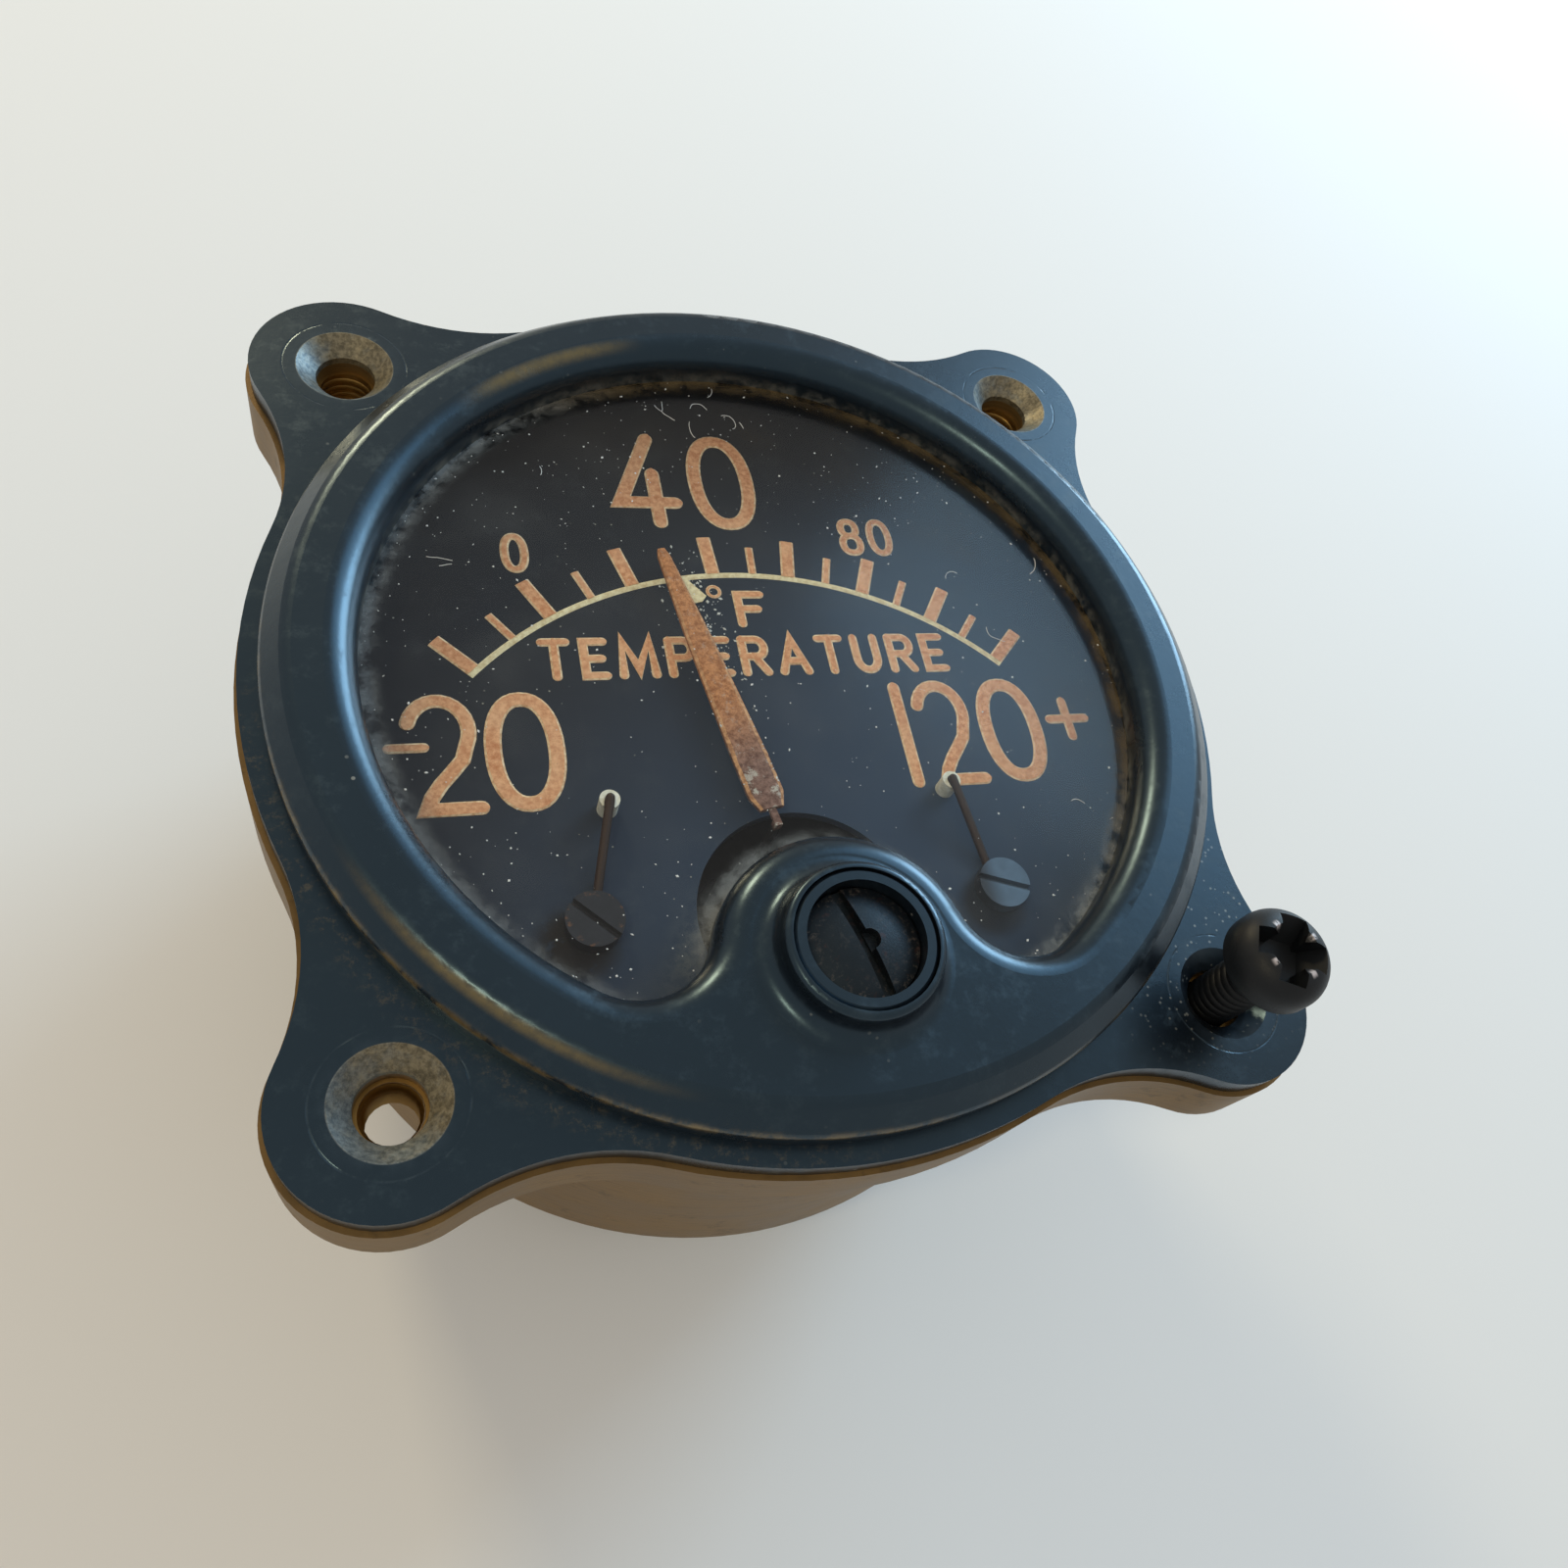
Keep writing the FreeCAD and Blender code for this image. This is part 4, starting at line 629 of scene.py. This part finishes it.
materials = {
    "black_cover": black_cover(),
    "tan_case": tan_case(),
    "clear_glass": clear_glass(),
    "dial_black": dial_black(),
    "pointer_paint": aged_orange(),
    "pointer_rust": pointer_rust(),
    "screw_grey": dial_screw_head(),
    "screw_black": worn_head(),
    "adjuster_black": adjuster_black(),
    "stop_brown": small_black("stop_brown", srgb(62, 40, 26), 0.45),
    "dark_steel": small_black("dark_steel", srgb(40, 38, 38), 0.34),
    "steel": metal("steel", srgb(96, 96, 96), srgb(158, 156, 150), 0.32),
    "brass": metal("brass", srgb(120, 88, 44), srgb(186, 148, 84), 0.3),
    # brass darkened as painted shade, for movement parts seen down the dial hole
    "dull_brass": metal("dull_brass", srgb(34, 27, 17), srgb(62, 49, 30), 0.5, 0.5),
    "soft_iron": metal("soft_iron", srgb(70, 70, 72), srgb(116, 114, 112), 0.42),
    "aluminium_plate": metal("aluminium_plate", srgb(140, 140, 140), srgb(190, 190, 188), 0.35),
    "copper_wire": wound("copper_wire", srgb(84, 34, 18), srgb(184, 104, 62), 0.18 * MM, 0.5),
    "wire_cover": wound("wire_cover", srgb(84, 22, 16), srgb(140, 50, 38), 0.25 * MM, 0.0),
    "phenolic": moulded("phenolic", srgb(34, 20, 13), srgb(56, 34, 22), 0.38),
    "gasket_rubber": moulded("gasket_rubber", srgb(16, 16, 16), srgb(30, 30, 30), 0.6),
    "sleeve_cream": old_cream("sleeve_cream", srgb(216, 212, 192), srgb(248, 246, 234)),
    "aged_cream": old_cream("aged_cream", srgb(214, 192, 146), srgb(250, 238, 198)),
    "paint_edge": old_cream("paint_edge", srgb(204, 152, 108), srgb(250, 224, 184)),
    "pointer_edge": old_cream("pointer_edge", srgb(150, 98, 64), srgb(224, 172, 124)),
    "lint_white": lint_white(),
}

# CAD nodes take the finish of their slot in the record, apart from those that the photograph shows otherwise
finish_of = {entry["node"]: entry["material_slot"] for entry in frame["record"]["subparts"]}
finish_of.update({
    "pointer": "pointer_rust",
    "zero_adjuster": "adjuster_black",
    "mounting_screw": "screw_black",
    "dial_screws": "screw_grey",
    # painted shade: the bridge and jewel screw seen down the dial hole take darkened brass
    "front_bridge": "dull_brass",
    "front_jewel_screw": "dull_brass",
    "left_stop_wire": "stop_brown",
    "right_stop_wire": "stop_brown",
})


def dress_frame():
    for name, obj in nodes.items():
        for material_slot in obj.material_slots:
            material_slot.material = materials[finish_of[name]]


dress_frame()


# Mesh helpers

def add_piece(name, mesh_maker, paints, body, smooth=False):
    """Makes an object of what mesh_maker builds, with a slot for each paint, and lets it ride on a body."""
    mesh = bpy.data.meshes.new(name)
    bm = bmesh.new()
    mesh_maker(bm)
    bm.normal_update()
    bm.to_mesh(mesh)
    bm.free()
    for paint in paints:
        mesh.materials.append(materials[paint])
    if smooth:
        for face in mesh.polygons:
            face.use_smooth = True
    obj = bpy.data.objects.new(name, mesh)
    bpy.context.scene.collection.objects.link(obj)
    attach(obj, body)


def left_normal(before, after):
    along = (after - before).normalized()
    return Vector((-along.y, along.x))


def sections_of(points, half, closed, round_ends):
    """Centre, sideways direction and half width of each cross-section of a painted stroke."""
    mitre_limit = 0.4
    count = len(points)
    made = []
    for k in range(count):
        before = points[k - 1] if (k > 0 or closed) else None
        after = points[(k + 1) % count] if (k < count - 1 or closed) else None
        if before is None:
            made.append((points[k], left_normal(points[k], after), half))
        elif after is None:
            made.append((points[k], left_normal(before, points[k]), half))
        else:
            one, two = left_normal(before, points[k]), left_normal(points[k], after)
            side = (one + two).normalized()
            made.append((points[k], side, half / max(side.dot(one), mitre_limit)))
    if closed or not round_ends:
        return made
    start, side, _ = made[0]
    end, last_side, _ = made[-1]
    back = Vector((-side.y, side.x))
    ahead = Vector((last_side.y, -last_side.x))
    turns = [math.radians(degrees) for degrees in (80, 55, 28)]
    first = [(start + back * half * math.sin(a), side, half * math.cos(a)) for a in turns]
    last = [(end + ahead * half * math.sin(a), last_side, half * math.cos(a)) for a in reversed(turns)]
    return first + made + last


def paint_stroke(bm, points, width, height, closed=False, round_ends=True):
    """A line painted on the dial, in millimetres: slot 0 on top, slot 1 on its sloping sides."""
    slope = 0.16
    slope_share = 0.6
    points = [Vector(p) for p in points]
    rings = []
    for centre, side, half in sections_of(points, width / 2, closed, round_ends):
        lip = min(slope, half * slope_share)
        row = []
        for reach, level in ((half, 0.0), (half - lip, height), (lip - half, height), (-half, 0.0)):
            spot = centre + side * reach
            row.append(bm.verts.new((spot.x * MM, spot.y * MM, dial_top + level * MM)))
        rings.append(row)
    pairs = list(zip(rings, rings[1:]))
    if closed:
        pairs.append((rings[-1], rings[0]))
    for one, two in pairs:
        for k in range(3):
            face = bm.faces.new((one[k], one[k + 1], two[k + 1], two[k]))
            face.material_index = 0 if k == 1 else 1
            face.normal_update()
            if face.normal.z < 0:
                face.normal_flip()
    if not closed:
        for row in (rings[0], rings[-1]):
            cap = bm.faces.new(row)
            cap.material_index = 1


# Lettering of the dial. A stroke is a list of points in a unit box, and whether it closes.

def oval(left, low, right, high, steps=36, power=2.25):
    """A closed oval, a little squarer than an ellipse where the power is over 2."""
    points = []
    for k in range(steps):
        angle = 2 * math.pi * k / steps
        c, s = math.cos(angle), math.sin(angle)
        x = math.copysign(abs(c) ** (2 / power), c)
        y = math.copysign(abs(s) ** (2 / power), s)
        points.append(((left + right) / 2 + x * (right - left) / 2, (low + high) / 2 + y * (high - low) / 2))
    return (points, True)


def curve(centre, radii, first_deg, last_deg, steps):
    points = []
    for k in range(steps + 1):
        angle = math.radians(first_deg + (last_deg - first_deg) * k / steps)
        points.append((centre[0] + radii[0] * math.cos(angle), centre[1] + radii[1] * math.sin(angle)))
    return points


def line(*points):
    return (list(points), False)


def draw_glyphs():
    hook = curve((0.46, 0.71), (0.46, 0.29), 163, -28, 14)
    foot_of_two = [(0.79, 0.44), (0.62, 0.33), (0.44, 0.22), (0.30, 0.11), (0.22, 0.0), (1.0, 0.0)]
    stem = line((0, 0), (0, 1))
    bowl = line((0, 1), *curve((0.62, 0.74), (0.38, 0.26), 90, -90, 10), (0, 0.48))
    cup = curve((0.5, 0.36), (0.5, 0.36), 180, 360, 16)
    return {
        "0": [oval(0, 0, 1, 1)],
        "1": [line((0.5, 0), (0.5, 1))],
        "2": [line(*hook, *foot_of_two)],
        "4": [line((0.73, 1.0), (0.0, 0.23), (1.1, 0.23)), line((0.73, 0.57), (0.73, 0.0))],
        "8": [oval(0, 0, 1, 0.54, 26), oval(0.07, 0.54, 0.93, 1, 26)],
        "-": [line((0, 0.5), (1, 0.5))],
        "+": [line((0, 0.5), (1, 0.5)), line((0.5, 0), (0.5, 1))],
        "A": [line((0, 0), (0.5, 1), (1, 0)), line((0.2, 0.32), (0.8, 0.32))],
        "E": [line((1, 1), (0, 1), (0, 0), (1, 0)), line((0, 0.5), (0.85, 0.5))],
        "F": [line((1, 1), (0, 1), (0, 0)), line((0, 0.5), (0.8, 0.5))],
        "M": [line((0, 0), (0.08, 1), (0.5, 0.15), (0.92, 1), (1, 0))],
        "P": [stem, bowl],
        "R": [stem, bowl, line((0.5, 0.48), (1, 0))],
        "T": [line((0, 1), (1, 1)), line((0.5, 1), (0.5, 0))],
        "U": [line((0, 1), *cup, (1, 1))],
    }


glyphs = draw_glyphs()

# Widths of the letters that aren't one wide
letter_widths = {"A": 1.12, "M": 1.3, "E": 0.9}

# Heights of the paint and widths of the strokes, in millimetres
number_height = 0.07
legend_height = 0.06
degree_height = 0.05
arc_height = 0.045
crossing_lift = 0.004
thick, medium, thin = 1.35, 1.2, 0.75

# Each glyph of the numbers: its lower left and upper right corners and its stroke's width, in millimetres
number_places = (
    ("4", (-9.7, 18.0), (-3.8, 29.1), thick),
    ("0", (-2.45, 17.9), (3.85, 29.1), thick),
    ("0", (-20.1, 12.95), (-17.7, 17.2), thin),
    ("8", (10.9, 15.1), (13.35, 19.5), thin),
    ("0", (13.8, 15.1), (16.35, 19.5), thin),
    ("-", (-30.5, -4.2), (-27.1, -3.0), 0.85),
    ("2", (-29.3, -9.6), (-23.1, 1.15), medium),
    ("0", (-23.1, -9.6), (-16.9, 1.15), thick),
    ("1", (11.7, -9.5), (12.9, 1.1), 1.15),
    ("2", (13.4, -9.5), (19.2, 1.2), medium),
    ("0", (19.5, -9.5), (25.7, 1.2), thick),
)


def write_glyph(bm, letter, low, high, stroke, height):
    """Fits a glyph's painted outside between two corners on the dial. Later strokes lie a little higher."""
    across, up = high[0] - low[0] - stroke, high[1] - low[1] - stroke
    for number, (points, closed) in enumerate(glyphs[letter]):
        placed = [(low[0] + stroke / 2 + x * across, low[1] + stroke / 2 + y * up) for x, y in points]
        paint_stroke(bm, placed, stroke, height + crossing_lift * number, closed)


def write_word(bm, text, low, high, stroke, gap):
    """Letters of their own relative widths, fitted between two corners."""
    total = sum(letter_widths.get(letter, 1.0) for letter in text)
    unit = (high[0] - low[0] - gap * (len(text) - 1)) / total
    x = low[0]
    for letter in text:
        wide = unit * letter_widths.get(letter, 1.0)
        write_glyph(bm, letter, (x, low[1]), (x + wide, high[1]), stroke, legend_height)
        x += wide + gap


def dial_numbers(bm):
    for letter, low, high, stroke in number_places:
        write_glyph(bm, letter, low, high, stroke, number_height)


def plus_sign(bm):
    write_glyph(bm, "+", (26.3, -5.6), (30.8, -1.0), 0.95, number_height)


def degree_sign(bm):
    loop, closed = oval(-2.75, 10.45, -1.65, 11.55, 16, 2.0)
    paint_stroke(bm, loop, 0.34, degree_height, closed)
    write_glyph(bm, "F", (-0.6, 7.15), (2.3, 11.1), 0.85, number_height)


def legend(bm):
    write_word(bm, "TEMPERATURE", (-18.1, 2.1), (18.4, 6.3), stroke=0.82, gap=0.62)


# Scale: a cream arc about the pointer's axis, with orange marks standing on it, in millimetres

arc_r = 32.7
arc_width = 0.55
arc_steps = 72
major_length, major_width = 4.0, 1.3
minor_length, minor_width = 2.9, 0.75
mark_overlap = 0.05
mark_angles = (-45.0, -37.2, -30.3, -23.2, -16.4, -9.9, -3.35, 3.05, 8.8, 14.9, 21.0, 26.8, 32.7, 38.5, 45.0)


def from_pivot(radius, degrees):
    angle = math.radians(degrees)
    return (pivot.x / MM + radius * math.sin(angle), pivot.y / MM + radius * math.cos(angle))


def scale_arc(bm):
    overrun = math.degrees(major_width / 2 / arc_r)
    first, last = mark_angles[0] - overrun, mark_angles[-1] + overrun
    points = [from_pivot(arc_r, first + (last - first) * k / arc_steps) for k in range(arc_steps + 1)]
    paint_stroke(bm, points, arc_width, arc_height, round_ends=False)


def scale_marks(bm):
    foot = arc_r + arc_width / 2 - mark_overlap
    for number, degrees in enumerate(mark_angles):
        major = number % 2 == 0
        length = major_length if major else minor_length
        width = major_width if major else minor_width
        ends = [from_pivot(foot, degrees), from_pivot(foot + length, degrees)]
        paint_stroke(bm, ends, width, number_height, round_ends=False)


# Rough luminous paint standing on the pointer. The lance's outline is distances from the pivot with half
# widths, in millimetres, and lies just inside the solid pointer.

lance_sizes = ((8.75, 1.0), (10.0, 1.5), (13.5, 1.5), (25.5, 1.07), (34.2, 0.52), (34.9, 0.28))
coat_thickness = 0.22


def lance_half(distance):
    for (near, near_half), (far, far_half) in zip(lance_sizes, lance_sizes[1:]):
        if distance <= far:
            return near_half + (far_half - near_half) * (distance - near) / (far - near)
    return lance_sizes[-1][1]


def along_lance(distance, side, z):
    """A place at a height z, from millimetres along and across the pointer's middle line."""
    x = side * math.cos(lance_turn) - distance * math.sin(lance_turn)
    y = side * math.sin(lance_turn) + distance * math.cos(lance_turn)
    return Vector((pivot.x + x * MM, pivot.y + y * MM, z))


def pointer_coat(bm):
    """A lumpy ridge of paint along the lance, thick in the middle and thin at its edges."""
    along, across = 110, 10
    start, end = lance_sizes[0][0], lance_sizes[-1][0]
    grid = []
    for i in range(along + 1):
        distance = start + (end - start) * i / along
        row = []
        for j in range(across + 1):
            share = 2 * j / across - 1
            ragged = 1 + 0.06 * noise.noise(Vector((distance * 2.1, share * 3, 4.0)))
            side = share * lance_half(distance) * ragged
            dome = math.sqrt(max(0.0, 1 - share * share)) ** 0.7
            lump = 0.5 + 0.5 * noise.noise(Vector((distance * 1.7, side * 2.4, 0.0)))
            fine = 0.5 + 0.5 * noise.noise(Vector((distance * 6.0, side * 6.0, 9.0)))
            height = coat_thickness * dome * (0.45 + 0.4 * lump + 0.25 * fine)
            row.append(bm.verts.new(along_lance(distance, side, pointer_top + height * MM)))
        grid.append(row)
    for i in range(along):
        for j in range(across):
            face = bm.faces.new((grid[i][j], grid[i][j + 1], grid[i + 1][j + 1], grid[i + 1][j]))
            face.material_index = 1 if j in (0, across - 1) else 0
    bmesh.ops.recalc_face_normals(bm, faces=bm.faces)


# Screw threads

def thread(bm, place, root, crest, low, high):
    """A helical ridge from its root radius to its crest radius, between two heights."""
    steps_per_turn = 20
    ridge_share = 0.42
    count = int((high - low) / thread_pitch * steps_per_turn)
    half = thread_pitch * ridge_share
    rows = []
    for k in range(count + 1):
        angle = 2 * math.pi * k / steps_per_turn
        z = low + (high - low) * k / count
        fading = min(1.0, k / steps_per_turn, (count - k) / steps_per_turn)
        tip = root + (crest - root) * fading
        row = []
        for radius, level in ((root, z - half), (tip, z), (root, z + half)):
            level = min(max(level, low), high)
            x, y = place[0] + radius * math.cos(angle), place[1] + radius * math.sin(angle)
            row.append(bm.verts.new((x, y, level)))
        rows.append(row)
    for one, two in zip(rows, rows[1:]):
        for k in range(2):
            bm.faces.new((one[k], two[k], two[k + 1], one[k + 1]))
    bmesh.ops.recalc_face_normals(bm, faces=bm.faces)


def insert_threads(bm):
    for place in open_holes:
        thread(bm, place, insert_bore + thread_sunk, insert_bore - thread_depth, insert_low, insert_high)


def screw_thread(bm):
    root = insert_bore - thread_play - thread_depth
    low, high = screw_low + screw_tip_bevel, screw_high - screw_head_h
    thread(bm, screw_place, root - thread_sunk, root + thread_depth, low, high)


# Dust, flakes and lint

def speck(bm, place, size, rng):
    """A flat grain: a low four-sided pyramid, turned and stretched by chance."""
    long, wide, high = size * rng.uniform(0.7, 1.4), size * rng.uniform(0.5, 1.0), size * 0.35
    turn = rng.uniform(0, math.pi)
    u = Vector((math.cos(turn), math.sin(turn), 0)) * long
    v = Vector((-math.sin(turn), math.cos(turn), 0)) * wide
    corners = [bm.verts.new(place + offset) for offset in (u, v, -u, -v)]
    peak = bm.verts.new(place + Vector((0, 0, high)))
    for k in range(4):
        bm.faces.new((corners[k], corners[(k + 1) % 4], peak))


def in_window(x, y, margin):
    inside = math.hypot(x, y) < opening_r - margin
    return inside and math.hypot(x - adjuster.x, y - adjuster.y) > lobe_r + margin


def glass_dust(bm):
    """Dust on the glass, thicker at the top, at the left and along the rim."""
    rng = random.Random(7)
    grain_count = 700
    left_out_elsewhere = 0.6
    placed = 0
    while placed < grain_count:
        x, y = rng.uniform(-opening_r, opening_r), rng.uniform(-opening_r, opening_r)
        dusty = y > 14 * MM or x < -22 * MM or math.hypot(x, y) > 28 * MM
        if not in_window(x, y, 0.2 * MM) or (not dusty and rng.random() < left_out_elsewhere):
            continue
        size = rng.choice((0.03, 0.04, 0.05, 0.05, 0.06, 0.08, 0.12)) * MM
        speck(bm, Vector((x, y, glass_top)), size, rng)
        placed += 1


def dial_crumbs(bm):
    """Crumbs of pale paint that fell on the dial beside the pointer."""
    rng = random.Random(23)
    crumb_count = 240
    for _ in range(crumb_count):
        distance = rng.triangular(19, 36.5, 29)
        side = abs(rng.gauss(0.4, 1.7)) + 0.5 if rng.random() < 0.85 else rng.gauss(0, 1.6)
        size = rng.choice((0.05, 0.07, 0.09, 0.12, 0.17)) * MM
        speck(bm, along_lance(distance, side, dial_top), size, rng)


def pointer_crust(bm):
    """Pale splinters of old paint standing on the lower end of the pointer."""
    rng = random.Random(5)
    splinter_count = 90
    for _ in range(splinter_count):
        distance = rng.triangular(8.9, 24.0, 10.5)
        side = rng.choice((-1, 1, 1)) * lance_half(distance) * rng.uniform(0.35, 0.97)
        size = rng.choice((0.08, 0.11, 0.15, 0.2)) * MM
        speck(bm, along_lance(distance, side, pointer_top + 0.02 * MM), size, rng)


def paint_flake(bm):
    """A torn cream flake lying beside the degree sign."""
    thickness = 0.08 * MM
    outline = [(-5.0, 12.35), (-4.4, 12.3), (-2.95, 10.5), (-3.4, 9.9), (-4.3, 9.7)]
    low = [bm.verts.new((x * MM, y * MM, dial_top)) for x, y in outline]
    high = [bm.verts.new((v.co.x, v.co.y, dial_top + thickness)) for v in low]
    bm.faces.new(high)
    for k in range(len(outline)):
        bm.faces.new((low[k - 1], low[k], high[k], high[k - 1]))


# Each hair: its start in millimetres, its heading in degrees, its length in millimetres and its curl
lint_places = (
    (-4.9, 27.9, 60, 1.2, 0.6), (-4.9, 27.9, 150, 0.9, -0.4), (-4.9, 27.9, 280, 1.5, 0.3),
    (-2.2, 28.4, 70, 2.2, -2.4), (-0.3, 29.9, 20, 1.3, 1.2), (-2.5, 26.8, 250, 2.0, 1.6),
    (0.6, 27.7, 20, 2.6, -3.6), (2.2, 27.0, 300, 0.8, 0.0), (18.2, 9.3, 100, 1.8, -3.0),
    (27.9, 11.7, 290, 2.2, -1.4), (20.7, 4.0, 250, 2.4, 1.0), (-26.3, 11.3, 330, 2.0, 0.8),
    (-25.4, 10.4, 10, 1.0, 0.5), (-16.5, 20.0, 40, 1.0, 1.5), (24.6, -14.0, 120, 1.4, 1.0),
)
hair_r = 0.03 * MM


def curled(start, turn, length, curl, rng):
    """Points of a hair that turns by its curl along its length, and a little by chance."""
    steps = 10
    points = [start]
    heading = turn
    for _ in range(steps):
        heading += curl / steps + rng.gauss(0, 0.12)
        step = Vector((math.cos(heading), math.sin(heading), 0)) * (length / steps)
        points.append(points[-1] + step)
    return points


def hair(bm, points):
    """A thin three-sided fibre through the points."""
    rings = []
    for k, point in enumerate(points):
        along = (points[min(k + 1, len(points) - 1)] - points[max(k - 1, 0)]).normalized()
        side = along.cross(Vector((0, 0, 1))).normalized()
        up = side.cross(along)
        ring = []
        for corner in range(3):
            angle = 2 * math.pi * corner / 3
            ring.append(bm.verts.new(point + (side * math.cos(angle) + up * math.sin(angle)) * hair_r))
        rings.append(ring)
    for one, two in zip(rings, rings[1:]):
        for k in range(3):
            bm.faces.new((one[k], one[(k + 1) % 3], two[(k + 1) % 3], two[k]))


def glass_lint(bm):
    """Short curled hairs lying on the glass."""
    rng = random.Random(41)
    for x, y, heading, length, curl in lint_places:
        start = Vector((x * MM, y * MM, glass_top + hair_r))
        hair(bm, curled(start, math.radians(heading), length * MM, curl, rng))


orange_paint = ("pointer_paint", "paint_edge")
add_piece("dial_numbers", dial_numbers, orange_paint, "gauge")
add_piece("dial_plus", plus_sign, orange_paint, "gauge")
add_piece("degree_mark", degree_sign, orange_paint, "gauge")
add_piece("dial_legend", legend, orange_paint, "gauge")
add_piece("scale_arc", scale_arc, ("aged_cream", "aged_cream"), "gauge")
add_piece("scale_marks", scale_marks, orange_paint, "gauge")
add_piece("pointer_coat", pointer_coat, ("pointer_rust", "pointer_edge"), "moving_coil", smooth=True)
add_piece("insert_threads", insert_threads, ("brass",), "gauge", smooth=True)
add_piece("screw_thread", screw_thread, ("screw_black",), "screw", smooth=True)
add_piece("pointer_crust", pointer_crust, ("lint_white",), "moving_coil")
add_piece("glass_dust", glass_dust, ("lint_white",), "gauge")
add_piece("dial_crumbs", dial_crumbs, ("lint_white",), "gauge")
add_piece("paint_flake", paint_flake, ("aged_cream",), "gauge")
add_piece("glass_lint", glass_lint, ("lint_white",), "gauge")


# Stage: pale floor, soft lamps, the photograph's camera

def build_floor():
    half = 3.0
    corners = [(-half, -half, floor_z), (half, -half, floor_z), (half, half, floor_z), (-half, half, floor_z)]
    g = Graph("studio_floor")
    mesh = bpy.data.meshes.new("studio_floor")
    mesh.from_pydata(corners, [], [(0, 1, 2, 3)])
    mesh.materials.append(g.done(g.principled((0.80, 0.80, 0.80, 1.0), 0.85)))
    floor = bpy.data.objects.new("studio_floor", mesh)
    bpy.context.scene.collection.objects.link(floor)


def soft_lamp(name, toward, distance, size, watts, colour):
    """A square lamp standing off in a direction from the gauge and facing it."""
    light = bpy.data.lights.new(name, "AREA")
    light.shape = "SQUARE"
    light.size = size
    light.energy = watts
    light.color = colour
    lamp = bpy.data.objects.new(name, light)
    direction = Vector(toward).normalized()
    lamp.location = direction * distance
    lamp.rotation_mode = "QUATERNION"
    lamp.rotation_quaternion = direction.to_track_quat("Z", "Y")
    bpy.context.scene.collection.objects.link(lamp)


def build_lights():
    """Cool light from the upper right, and a little warm light from the left and from the top."""
    cool, pale_cool = (0.42, 0.72, 1.0), (0.58, 0.82, 1.0)
    gold, warm = (1.0, 0.86, 0.56), (1.0, 0.82, 0.50)
    soft_lamp("sky_panel", (0.66, 0.50, 0.60), distance=0.75, size=0.40, watts=1.1, colour=cool)
    soft_lamp("key_lamp", (0.80, 0.56, 0.28), distance=0.75, size=0.32, watts=3.5, colour=pale_cool)
    soft_lamp("gold_lamp", (-0.47, -0.20, 0.86), distance=0.8, size=0.10, watts=1.0, colour=gold)
    soft_lamp("back_lamp", (-0.25, 0.84, 0.38), distance=0.8, size=0.14, watts=2.0, colour=warm)
    world = bpy.data.worlds.new("studio_world")
    world.use_nodes = True
    background = world.node_tree.nodes["Background"]
    background.inputs["Color"].default_value = (1.0, 0.98, 0.95, 1.0)
    background.inputs["Strength"].default_value = 0.47
    bpy.context.scene.world = world


def build_camera():
    data = bpy.data.cameras.new("photo_camera")
    data.sensor_width = 36.0
    data.lens = focal_px / photo_px * data.sensor_width
    data.shift_x = -(centre_px[0] - photo_px / 2) / photo_px
    data.shift_y = (centre_px[1] - photo_px / 2) / photo_px
    data.clip_start = 0.005
    data.clip_end = 20.0
    camera = bpy.data.objects.new("photo_camera", data)
    forward = (camera_target - camera_place).normalized()
    level_up = (Vector((0, 1, 0)) - forward * forward.y).normalized()
    level_right = forward.cross(level_up)
    up = level_up * math.cos(camera_roll) + level_right * math.sin(camera_roll)
    right = forward.cross(up)
    camera.matrix_world = Matrix((
        (right.x, up.x, -forward.x, camera_place.x),
        (right.y, up.y, -forward.y, camera_place.y),
        (right.z, up.z, -forward.z, camera_place.z),
        (0, 0, 0, 1),
    ))
    bpy.context.scene.collection.objects.link(camera)
    bpy.context.scene.camera = camera


build_floor()
build_lights()
build_camera()
bpy.context.scene.view_settings.view_transform = "Standard"
